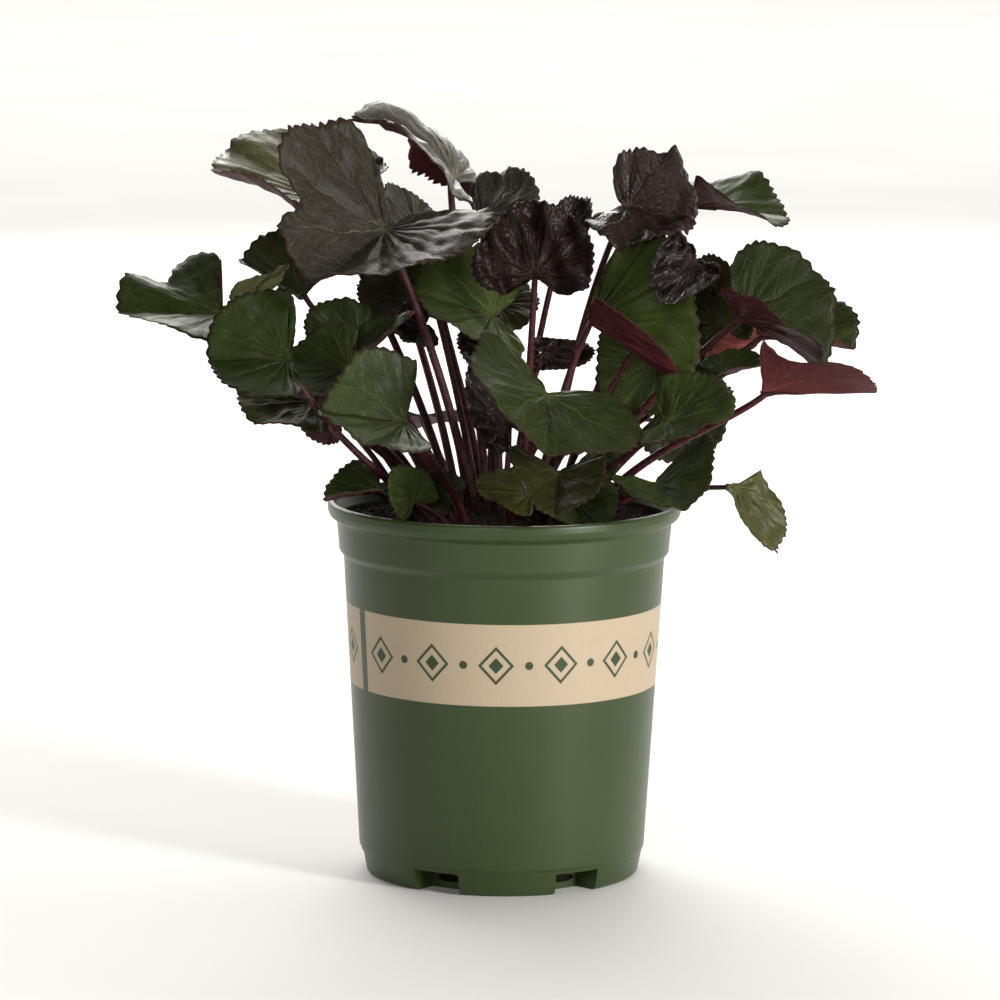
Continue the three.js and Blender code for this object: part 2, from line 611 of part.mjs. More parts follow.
// The stalk leaves the soil leaning towards its blade, reaches the hub from below and runs on as a rib.
function stalkPath(leaf, axes) {
  const start = new THREE.Vector3(leaf.root[0], leaf.root[1], 0);
  start.z = soilHeight(start.x, start.y) + stalkStart;
  const reach = point(leaf.hub).sub(start);
  const straight = reach.clone().normalize();
  const direction = straight.clone().lerp(new THREE.Vector3(0, 0, 1), leaf.rise).normalize();
  const tip = new THREE.Vector3().setFromMatrixColumn(axes, 0);
  const out = new THREE.Vector3().setFromMatrixColumn(axes, 2);
  const arrive = straight.addScaledVector(tip, 0.3).addScaledVector(out, 0.3).normalize();
  const bend = point(leaf.bend);
  const end = point(leaf.hub).addScaledVector(out, -0.7 * leaf.stalk * stalkTaper);
  const curve = new THREE.CubicBezierCurve3(
    start,
    start.clone().addScaledVector(direction, 0.4 * reach.length()).add(bend),
    end.clone().addScaledVector(arrive, -0.25 * reach.length()).add(bend),
    end,
  );
  const foot = start.clone().addScaledVector(direction, -rootDepth);
  const rib = bladePoint(leaf, 0, ribShare);
  rib.z -= ribRadius;
  const path = [foot, ...curve.getPoints(petioleSteps), rib.applyMatrix4(axes)];
  return { path, start, direction, radius: leaf.stalk };
}

// Fills in what a leaf of the list doesn't say.
function completed(leaf, index) {
  const shape = { lift: [0, 0], curl: [0, 0], arch: 0, lobes: 0, twist: 0, wide: [1, 1] };
  const usual = { ears: [earsUsual, earsUsual], wave: waveUsual, folds: [], bend: [0, 0, 0], rise: 0.35 };
  const detail = { teeth: leaf.size < 25 ? 9 : 12, rings: leaf.size > 40 ? [0.4, 0.75] : [0.55] };
  return { ...shape, ...usual, ...detail, seed: index * 1.7, ...leaf };
}

function makeLeaf(leaf) {
  const axes = leafAxes(leaf);
  const blade = makeBlade(leaf);
  const placed = blade.points.map((p) => p.clone().applyMatrix4(axes));
  const stalk = stalkPath(leaf, axes);
  const last = stalk.path.length - 1;
  const radii = stalk.path.map((_, i) => (
    i === last ? ribRadius : leaf.stalk * (1 - (1 - stalkTaper) * (i / (last - 1)))
  ));
  const solid = solidOf(placed, blade.triangles).add(tube(stalk.path, radii, petioleSides));
  return { solid, stalk };
}

const plant = new THREE.Group();

function addNode(name, solid, color, roughness) {
  const material = new THREE.MeshStandardMaterial({ color, roughness, metalness: 0 });
  const mesh = new THREE.Mesh(geometryOf(solid), material);
  mesh.name = name;
  plant.add(mesh);
}

const grown = leaves.map((leaf, index) => makeLeaf(completed(leaf, index)));
addNode('pot', makePot(), 0x4c5a3e, 0.45);
addNode('soil', makeSoil(grown.map((leaf) => leaf.stalk)), 0x1e1712, 0.95);
grown.forEach((leaf, index) => {
  const name = `leaf_${String(index + 1).padStart(2, '0')}`;
  addNode(name, leaf.solid, tones[leaves[index].tone], 0.5);
});

export default plant;
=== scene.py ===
import math

import bpy
import numpy as np
from mathutils import Matrix, Vector


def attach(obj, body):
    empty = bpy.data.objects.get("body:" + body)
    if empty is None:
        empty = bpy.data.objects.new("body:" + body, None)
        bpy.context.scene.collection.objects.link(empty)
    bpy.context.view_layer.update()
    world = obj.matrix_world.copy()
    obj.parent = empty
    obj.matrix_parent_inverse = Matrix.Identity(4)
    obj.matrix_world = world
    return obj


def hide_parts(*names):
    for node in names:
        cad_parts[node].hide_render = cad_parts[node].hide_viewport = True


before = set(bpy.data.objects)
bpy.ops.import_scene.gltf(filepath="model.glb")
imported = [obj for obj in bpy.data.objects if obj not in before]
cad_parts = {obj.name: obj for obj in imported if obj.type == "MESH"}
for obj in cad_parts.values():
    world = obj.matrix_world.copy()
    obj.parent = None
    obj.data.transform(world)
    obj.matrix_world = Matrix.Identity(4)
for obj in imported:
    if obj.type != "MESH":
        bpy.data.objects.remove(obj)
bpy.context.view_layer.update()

# The potted pandora ligularia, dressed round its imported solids. Sizes are in millimetres in the tables
# below and become metres where a mesh is made. +Z is up and the front faces -Y.
mm = 0.001
print("stage: frame loaded,", len(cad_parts), "nodes")


# Small helpers for node trees

def addNode(tree, kind, inputs=None, **settings):
    node = tree.nodes.new(kind)
    for name, value in settings.items():
        setattr(node, name, value)
    for name, value in (inputs or {}).items():
        socket = node.inputs[name]
        if isinstance(value, bpy.types.NodeSocket):
            tree.links.new(value, socket)
        else:
            socket.default_value = value
    return node


def calc(tree, operation, first, second=None, third=None, clamp=False):
    inputs = {0: first}
    if second is not None:
        inputs[1] = second
    if third is not None:
        inputs[2] = third
    return addNode(tree, "ShaderNodeMath", inputs, operation=operation, use_clamp=clamp).outputs[0]


def tinted(tree, factor, under, over):
    node = tree.nodes.new("ShaderNodeMix")
    node.data_type = "RGBA"
    for index, value in ((0, factor), (6, under), (7, over)):
        if isinstance(value, bpy.types.NodeSocket):
            tree.links.new(value, node.inputs[index])
        else:
            node.inputs[index].default_value = value
    return node.outputs[2]


def smoothStep(tree, value, low, high):  # 0 below low, 1 above high
    node = addNode(tree, "ShaderNodeMapRange", {"Value": value}, interpolation_type="SMOOTHSTEP")
    for name, edge in (("From Min", low), ("From Max", high)):
        if isinstance(edge, bpy.types.NodeSocket):
            tree.links.new(edge, node.inputs[name])
        else:
            node.inputs[name].default_value = edge
    return node.outputs["Result"]


def noise(tree, vector, scale, detail=3.0, rough=0.5):
    settings = {"Vector": vector, "Scale": scale, "Detail": detail, "Roughness": rough}
    return addNode(tree, "ShaderNodeTexNoise", settings).outputs["Fac"]


def paint(hexCode):  # a colour as seen on screen, made linear
    channels = [int(hexCode[i:i + 2], 16) / 255 for i in (0, 2, 4)]
    return [c / 12.92 if c <= 0.04045 else ((c + 0.055) / 1.055) ** 2.4 for c in channels] + [1.0]


def newMaterial(name, roughness=0.5, specular=0.5):
    material = bpy.data.materials.new(name)
    material.use_nodes = True
    shader = material.node_tree.nodes["Principled BSDF"]
    shader.inputs["Roughness"].default_value = roughness
    shader.inputs["Specular IOR Level"].default_value = specular
    return material, material.node_tree, shader


def objectPoint(tree, scale=1.0):  # where a point is on the object, in metres times scale
    place = tree.nodes.new("ShaderNodeTexCoord").outputs["Object"]
    return addNode(tree, "ShaderNodeMapping", {"Vector": place, "Scale": (scale, scale, scale)}).outputs[0]


def bump(tree, shader, height, distance, strength=1.0):
    node = addNode(tree, "ShaderNodeBump", {"Height": height, "Distance": distance, "Strength": strength})
    tree.links.new(node.outputs[0], shader.inputs["Normal"])


def meshPiece(name, points, faces, materials, places=None, smooth=True):
    mesh = bpy.data.meshes.new(name)
    mesh.from_pydata([tuple(p) for p in points], [], [tuple(f) for f in faces])
    for material in materials:
        mesh.materials.append(material)
    if places is not None:
        mesh.polygons.foreach_set("material_index", places)
    mesh.polygons.foreach_set("use_smooth", [smooth] * len(mesh.polygons))
    mesh.update()
    piece = bpy.data.objects.new(name, mesh)
    bpy.context.scene.collection.objects.link(piece)
    return piece


def socketId(tree, name):
    for item in tree.interface.items_tree:
        if item.item_type == "SOCKET" and item.in_out == "INPUT" and item.name == name:
            return item.identifier


def newTree(name, inputs):  # a geometry tree with a geometry input and the named inputs
    tree = bpy.data.node_groups.new(name, "GeometryNodeTree")
    tree.interface.new_socket("Geometry", in_out="OUTPUT", socket_type="NodeSocketGeometry")
    tree.interface.new_socket("Geometry", in_out="INPUT", socket_type="NodeSocketGeometry")
    for label, (kind, value) in inputs.items():
        socket = tree.interface.new_socket(label, in_out="INPUT", socket_type="NodeSocket" + kind)
        if value is not None:
            socket.default_value = value
    start = tree.nodes.new("NodeGroupInput")
    end = tree.nodes.new("NodeGroupOutput")
    return tree, start.outputs, end


def finishTree(tree, end, geometry, material):  # every tree ends in Realize Instances and Set Material
    realized = addNode(tree, "GeometryNodeRealizeInstances", {"Geometry": geometry}).outputs[0]
    painted = addNode(tree, "GeometryNodeSetMaterial", {"Geometry": realized, "Material": material})
    tree.links.new(painted.outputs[0], end.inputs[0])


def grown(piece, tree, values):  # runs a geometry tree on a piece and keeps the result as a plain mesh
    modifier = piece.modifiers.new(tree.name, "NODES")
    modifier.node_group = tree
    for label, value in values.items():
        modifier[socketId(tree, label)] = value
    bpy.context.view_layer.update()
    seen = piece.evaluated_get(bpy.context.evaluated_depsgraph_get())
    mesh = bpy.data.meshes.new_from_object(seen)
    piece.modifiers.remove(modifier)
    old = piece.data
    piece.data = mesh
    bpy.data.meshes.remove(old)
    mesh.name = piece.name
    return piece


# Camera, light and floor

cameraPlan = {
    "place": (-0.0021, -2.5, 0.545), "pitchDown": 8.416, "roll": 0.493, "lens": 194.94, "sensor": 36,
}
lightPlan = {
    "key": {"place": (1.5, -1.25, 0.66), "aim": (0, 0, 0.16), "size": (0.36, 1.25), "power": 46},
    "back": {"place": (-0.5, 2.4, 1.5), "aim": (0, 0, 0.28), "size": (2.4, 1.0), "power": 60},
    "fill": {"place": (-0.5, -2.6, 1.1), "aim": (0, 0, 0.2), "size": (1.2, 1.0), "power": 22},
    "backdrop": {"place": (0, 6.0, 3.6), "aim": (0, 6.0, 0), "size": (9.0, 8.0), "power": 370},
}
warmWhite = (1.0, 0.975, 0.93)
surroundings = {
    "dim": 0.06, "bright": 1.0, "lean": (0.1, 0.95, 0.25), "dimBelow": -0.1, "brightAbove": 0.9,
    "floorSize": 40, "floor": "d6d6d6", "floorPale": "e4e4e4",
}


def placeCamera(plan):
    data = bpy.data.cameras.new("studioCamera")
    data.lens = plan["lens"]
    data.sensor_width = plan["sensor"]
    data.clip_end = 60
    camera = bpy.data.objects.new("studioCamera", data)
    turn = Matrix.Rotation(math.radians(90 - plan["pitchDown"]), 4, "X")
    roll = Matrix.Rotation(math.radians(plan["roll"]), 4, "Z")
    camera.matrix_world = Matrix.Translation(plan["place"]) @ turn @ roll
    bpy.context.scene.collection.objects.link(camera)
    bpy.context.scene.camera = camera


def placeLight(name, plan):
    data = bpy.data.lights.new(name, "AREA")
    data.shape = "RECTANGLE"
    data.size, data.size_y = plan["size"]
    data.energy = plan["power"]
    data.color = warmWhite
    lamp = bpy.data.objects.new(name, data)
    aim = Vector(plan["aim"]) - Vector(plan["place"])
    lamp.matrix_world = Matrix.Translation(plan["place"]) @ aim.to_track_quat("-Z", "Y").to_matrix().to_4x4()
    bpy.context.scene.collection.objects.link(lamp)


def layFloor(plan):
    half = plan["floorSize"] / 2
    corners = [(-half, -half, 0), (half, -half, 0), (half, half, 0), (-half, half, 0)]
    material, tree, shader = newMaterial("paleFloor", 0.8, 0.2)
    cloud = noise(tree, objectPoint(tree), 3.0)
    mottled = tinted(tree, cloud, paint(plan["floor"]), paint(plan["floorPale"]))
    tree.links.new(mottled, shader.inputs["Base Color"])
    floor = meshPiece("studioFloor", corners, [(0, 1, 2, 3)], [material], smooth=False)


def lightSky(plan):  # brightest behind the plant, as in a studio with a pale backdrop
    world = bpy.data.worlds.new("paleStudio")
    world.use_nodes = True
    tree = world.node_tree
    background = tree.nodes["Background"]
    background.inputs["Color"].default_value = (*warmWhite, 1)
    way = tree.nodes.new("ShaderNodeTexCoord").outputs["Generated"]
    facing = addNode(tree, "ShaderNodeVectorMath", {0: way, 1: plan["lean"]}, operation="DOT_PRODUCT")
    glow = addNode(tree, "ShaderNodeMapRange", {
        "Value": facing.outputs["Value"], "From Min": plan["dimBelow"],
        "From Max": plan["brightAbove"], "To Min": plan["dim"], "To Max": plan["bright"]})
    tree.links.new(glow.outputs[0], background.inputs["Strength"])
    bpy.context.scene.world = world


placeCamera(cameraPlan)
for lampName, lampPlan in lightPlan.items():
    placeLight(lampName + "Softbox", lampPlan)
layFloor(surroundings)
lightSky(surroundings)
bpy.context.scene.view_settings.view_transform = "Standard"
print("stage: camera, light and floor")


# How the leaves look: one finish for each tone

# deep and fresh are the darkest and the freshest colour of the upper face, and under that of the underside.
# puff and pucker are how high the blade swells between its veins and all over, and depth is that of its fine
# relief, all in mm.
leafFinishes = {
    "green": {"deep": "1c230d", "fresh": "3b4b1a", "under": "4a1e22", "vein": "6f7d48", "veinShow": 0.16,
              "rough": 0.42, "shine": 0.1, "crinkle": 0.3, "puff": 0.9, "pucker": 0.6, "depth": 0.4},
    "dark": {"deep": "1c1f0e", "fresh": "373d1d", "under": "43201f", "vein": "5d6244", "veinShow": 0.15,
             "rough": 0.45, "shine": 0.1, "crinkle": 0.3, "puff": 1.0, "pucker": 0.6, "depth": 0.4},
    "grey": {"deep": "211d17", "fresh": "3e3a32", "under": "5a272b", "vein": "85826f", "veinShow": 0.2,
             "rough": 0.4, "shine": 0.24, "crinkle": 0.25, "puff": 1.7, "pucker": 0.5, "depth": 0.5},
    "bronze": {"deep": "120b09", "fresh": "2a1a15", "under": "4c1f22", "vein": "6a5148", "veinShow": 0.15,
               "rough": 0.3, "shine": 0.26, "crinkle": 0.35, "puff": 1.7, "pucker": 1.4, "depth": 0.9},
    "olive": {"deep": "28290f", "fresh": "484b1e", "under": "542628", "vein": "767650", "veinShow": 0.16,
              "rough": 0.4, "shine": 0.15, "crinkle": 0.3, "puff": 1.0, "pucker": 0.7, "depth": 0.4},
}
crumples = {1: 0.7, 3: 0.6, 4: 0.8, 6: 1.0, 8: 1.3, 9: 1.4, 34: 1.0, 35: 1.2, 37: 1.0}  # extra pucker, in mm
# By leaf: painted light and shade, as how many times as bright its upper face's colour is made than its
# finish says, and how many times as glossy that face is
leafPaintedLightAndGloss = {
    1: (1.35, 0.38), 2: (1.9, 3.5), 3: (1.8, 2.4), 6: (1.0, 0.4), 10: (0.85, 1.0), 14: (1.2, 1.0),
    16: (1.5, 1.0), 18: (1.1, 2.0), 19: (1.15, 1.0), 21: (1.6, 1.0), 23: (1.3, 0.9), 24: (1.7, 2.5),
    26: (0.6, 1.0), 28: (2.2, 0.3), 30: (1.5, 2.5), 42: (0.6, 1.0), 45: (1.7, 1.0),
}
veinPlan = {
    "spread": 32, "mainWidth": 0.85, "thinnest": 0.2, "sideGap": 7.0, "sideSlant": 1.25, "mesh": 2.6,
    "wander": 7, "wanderScale": 0.09, "streaksAround": 12.0, "streaksAlong": 0.035,
}
upperFace = {
    "cloudScale": 0.045, "sideShow": 0.55, "meshShow": 0.22, "rim": "2a1512", "rimStart": 0.955,
    "rimShow": 0.6, "rimRough": 0.15, "speck": "8c8a5e", "speckScale": 0.13, "speckShow": 0.5, "grain": 0.22,
}
underFace = {"rough": 0.55, "shine": 0.15, "cloudScale": 0.06, "dim": 0.55, "pale": 1.4, "veinShow": 0.7}
mapSpan = 200  # how many millimetres of flat blade the UV map's unit square covers


def flatPoint(tree):  # where a point lies on the flat blade, in millimetres from the hub
    place = addNode(tree, "ShaderNodeUVMap", uv_map="bladeMap").outputs[0]
    flat = addNode(tree, "ShaderNodeMapping", {
        "Vector": place, "Scale": (mapSpan, mapSpan, 0), "Location": (-mapSpan / 2, -mapSpan / 2, 0)})
    return flat.outputs[0]


def attribute(tree, name):
    return addNode(tree, "ShaderNodeAttribute", attribute_name=name).outputs["Fac"]


def veinMasks(tree, plan):  # main veins fan out from the hub, side veins slant off them, a fine mesh fills in
    flat = flatPoint(tree)
    wander = addNode(tree, "ShaderNodeTexNoise", {
        "Vector": flat, "Scale": plan["wanderScale"], "Detail": 2.0}).outputs["Color"]
    shift = addNode(tree, "ShaderNodeVectorMath", {0: wander, 1: (-0.5, -0.5, -0.5)}, operation="ADD")
    moved = addNode(tree, "ShaderNodeVectorMath", {
        0: shift.outputs[0], 1: (plan["wander"], plan["wander"], 0), 2: flat}, operation="MULTIPLY_ADD")
    parts = addNode(tree, "ShaderNodeSeparateXYZ", {0: moved.outputs[0]}).outputs
    spread = math.radians(plan["spread"])
    angle = calc(tree, "ARCTAN2", parts["Y"], parts["X"])
    nearest = calc(tree, "MULTIPLY", calc(tree, "ROUND", calc(tree, "DIVIDE", angle, spread)), spread)
    off = calc(tree, "SUBTRACT", angle, nearest)
    reach = addNode(tree, "ShaderNodeVectorMath", {0: moved.outputs[0]}, operation="LENGTH").outputs["Value"]
    aside = calc(tree, "MULTIPLY", reach, calc(tree, "ABSOLUTE", calc(tree, "SINE", off)))
    along = calc(tree, "MULTIPLY", reach, calc(tree, "COSINE", off))
    share = attribute(tree, "share")
    left = calc(tree, "POWER", calc(tree, "SUBTRACT", 1.0, share, clamp=True), 1.5)
    width = calc(tree, "MULTIPLY_ADD", left, plan["mainWidth"], plan["thinnest"])
    edge = calc(tree, "DIVIDE", aside, width)
    main = calc(tree, "SUBTRACT", 1.0, smoothStep(tree, edge, 0.25, 0.95))
    slanted = calc(tree, "SUBTRACT", along, calc(tree, "MULTIPLY", aside, plan["sideSlant"]))
    step = calc(tree, "DIVIDE", slanted, plan["sideGap"])
    phase = calc(tree, "ABSOLUTE", calc(tree, "SUBTRACT", calc(tree, "FRACT", step), 0.5))
    side = calc(tree, "SUBTRACT", 1.0, smoothStep(tree, phase, 0.02, 0.075))
    cells = addNode(tree, "ShaderNodeTexVoronoi", {"Vector": flat, "Scale": 1 / plan["mesh"]},
                    feature="DISTANCE_TO_EDGE").outputs["Distance"]
    fine = calc(tree, "SUBTRACT", 1.0, smoothStep(tree, cells, 0.0, 0.16))
    fan = addNode(tree, "ShaderNodeCombineXYZ", {
        "X": calc(tree, "MULTIPLY", angle, plan["streaksAround"]),
        "Y": calc(tree, "MULTIPLY", reach, plan["streaksAlong"])})
    streak = noise(tree, fan.outputs[0], 1.0, 3.0, 0.6)  # long streaks that run out from the hub
    return {"main": main, "side": side, "fine": fine, "cells": cells, "share": share, "flat": flat,
            "streak": streak}


def leafTop(name, look, gloss=1.0):
    plan = upperFace
    material, tree, shader = newMaterial(name, specular=look["shine"] * gloss)
    masks = veinMasks(tree, veinPlan)
    streak = masks["streak"]
    cloud = noise(tree, masks["flat"], plan["cloudScale"])
    mixed = calc(tree, "MULTIPLY_ADD", cloud, 0.5, attribute(tree, "tone"))
    mixed = calc(tree, "MULTIPLY_ADD", streak, 0.5, mixed, clamp=True)
    base = tinted(tree, smoothStep(tree, mixed, 0.15, 0.95), paint(look["deep"]), paint(look["fresh"]))
    lines = calc(tree, "MAXIMUM", masks["main"], calc(tree, "MULTIPLY", masks["side"], plan["sideShow"]))
    lines = calc(tree, "MAXIMUM", lines, calc(tree, "MULTIPLY", masks["fine"], plan["meshShow"]))
    veined = tinted(tree, calc(tree, "MULTIPLY", lines, look["veinShow"]), base, paint(look["vein"]))
    rim = smoothStep(tree, masks["share"], plan["rimStart"], 0.99)
    edged = tinted(tree, calc(tree, "MULTIPLY", rim, plan["rimShow"]), veined, paint(plan["rim"]))
    specks = addNode(tree, "ShaderNodeTexVoronoi", {"Vector": masks["flat"], "Scale": plan["speckScale"]})
    speck = calc(tree, "SUBTRACT", 1.0, smoothStep(tree, specks.outputs["Distance"], 0.025, 0.05))
    flecked = tinted(tree, calc(tree, "MULTIPLY", speck, plan["speckShow"]), edged, paint(plan["speck"]))
    # painted light and shade: the upper face's colour is scaled by the leaf's own brightness gain
    shaded = addNode(tree, "ShaderNodeVectorMath", {
        0: flecked, "Scale": attribute(tree, "shade")}, operation="SCALE")
    tree.links.new(shaded.outputs[0], shader.inputs["Base Color"])
    rough = calc(tree, "MULTIPLY_ADD", streak, plan["grain"], look["rough"] - plan["grain"] / 2)
    tree.links.new(calc(tree, "MULTIPLY_ADD", rim, plan["rimRough"], rough), shader.inputs["Roughness"])
    pads = calc(tree, "MULTIPLY", smoothStep(tree, masks["cells"], 0.0, 0.45), look["crinkle"])
    pads = calc(tree, "MULTIPLY_ADD", streak, 0.9, pads)
    sunk = calc(tree, "MULTIPLY_ADD", masks["main"], 1.0, calc(tree, "MULTIPLY", masks["side"], 0.5))
    bump(tree, shader, calc(tree, "SUBTRACT", pads, sunk), look["depth"] * mm, 0.6)
    return material


def leafUnderside(name, colour):
    plan = underFace
    material, tree, shader = newMaterial(name, plan["rough"], plan["shine"])
    masks = veinMasks(tree, veinPlan)
    red = paint(colour)
    dim = [c * plan["dim"] for c in red[:3]] + [1.0]
    pale = [min(1.0, c * plan["pale"] + 0.01) for c in red[:3]] + [1.0]
    base = tinted(tree, noise(tree, masks["flat"], plan["cloudScale"]), dim, red)
    lines = calc(tree, "MAXIMUM", masks["main"], calc(tree, "MULTIPLY", masks["side"], 0.6))
    veined = tinted(tree, calc(tree, "MULTIPLY", lines, plan["veinShow"]), base, pale)
    tree.links.new(veined, shader.inputs["Base Color"])
    raised = calc(tree, "MULTIPLY_ADD", masks["main"], 1.0, calc(tree, "MULTIPLY", masks["side"], 0.5))
    bump(tree, shader, calc(tree, "MULTIPLY_ADD", masks["fine"], 0.25, raised), 0.0005, 0.7)
    return material


stalkPlan = {
    "dark": "1e0a0b", "light": "4a181b", "freckle": "9a6a62", "freckleShow": 0.35, "rough": 0.5,
    "shine": 0.22, "ridges": 7, "ridgeDepth": 0.09, "sides": 21, "steps": 22,
}
bristlePlan = {
    "dark": "8a6058", "light": "c8a89c", "density": 90000.0, "length": 0.0011, "thickness": 0.00009,
    "seed": 5,
}


def stalkSkin(plan):
    material, tree, shader = newMaterial("stalkBurgundy", plan["rough"], plan["shine"])
    place = objectPoint(tree, 1000.0)
    mottled = noise(tree, place, 0.35, 4.0, 0.6)
    freckles = noise(tree, place, 1.6, 2.0)
    base = tinted(tree, smoothStep(tree, mottled, 0.3, 0.75), paint(plan["dark"]), paint(plan["light"]))
    freckled = calc(tree, "MULTIPLY", smoothStep(tree, freckles, 0.62, 0.72), plan["freckleShow"])
    tree.links.new(tinted(tree, freckled, base, paint(plan["freckle"])), shader.inputs["Base Color"])
    bump(tree, shader, freckles, 0.0002, 0.5)
    return material


def bristleSkin(plan):
    material, tree, shader = newMaterial("paleBristle", 0.6, 0.3)
    mottled = noise(tree, objectPoint(tree, 100.0), 1.0)
    colour = tinted(tree, mottled, paint(plan["dark"]), paint(plan["light"]))
    tree.links.new(colour, shader.inputs["Base Color"])
    return material


def topSkinOf(leaf):  # a leaf that is glossier or duller than its finish has a material of its own
    tone, number = leaf["tone"], leaf["index"]
    gloss = leafPaintedLightAndGloss.get(number, (1.0, 1.0))[1]
    if gloss == 1.0:
        return topSkins[tone]
    return leafTop(f"leafTop{tone.title()}_{number:02d}", leafFinishes[tone], gloss)


topSkins = {tone: leafTop("leafTop" + tone.title(), look) for tone, look in leafFinishes.items()}
underSkins = {tone: leafUnderside("leafUnder" + tone.title(), look["under"])
              for tone, look in leafFinishes.items()}
litSkin = leafUnderside("leafUnderLit", "a0584f")
stalkMaterial = stalkSkin(stalkPlan)
bristleMaterial = bristleSkin(bristlePlan)
print("stage: leaf finishes")


# The leaf shapes follow the same rule as the solids, with more teeth, sunk veins and puckers

leafRule = {
    "lobeShortening": 0.28, "sinusHalfAngle": 48, "sinusSharpness": 4, "sinusFloor": 0.06, "lobeEnd": 142,
    "earsUsual": 0.85, "wave": 0.035, "thickness": 0.5, "soilEdge": 165, "soilCrown": 169, "soilRadius": 75.9,
    "stalkStart": 1.5, "rootDepth": 12, "stalkTaper": 0.75, "ribRadius": 0.5, "ribShare": 0.3,
}
leafDetail = {
    "rings": 14, "sinusSteps": 7, "teethBase": 20, "teethPerMm": 0.45, "toothLeast": 0.4,
    "toothPerMm": 0.012, "frill": 0.016, "rayHeight": 0.16, "seed": 71,
    "toothProfile": ((0.0, 0.0), (0.3, 0.62), (0.55, 1.0), (0.8, 0.45)),  # (share of the width, height)
    "puckerWaves": ((22, 0.6), (13, 0.5), (8, 0.3)),  # (length in mm, share of the height)
}
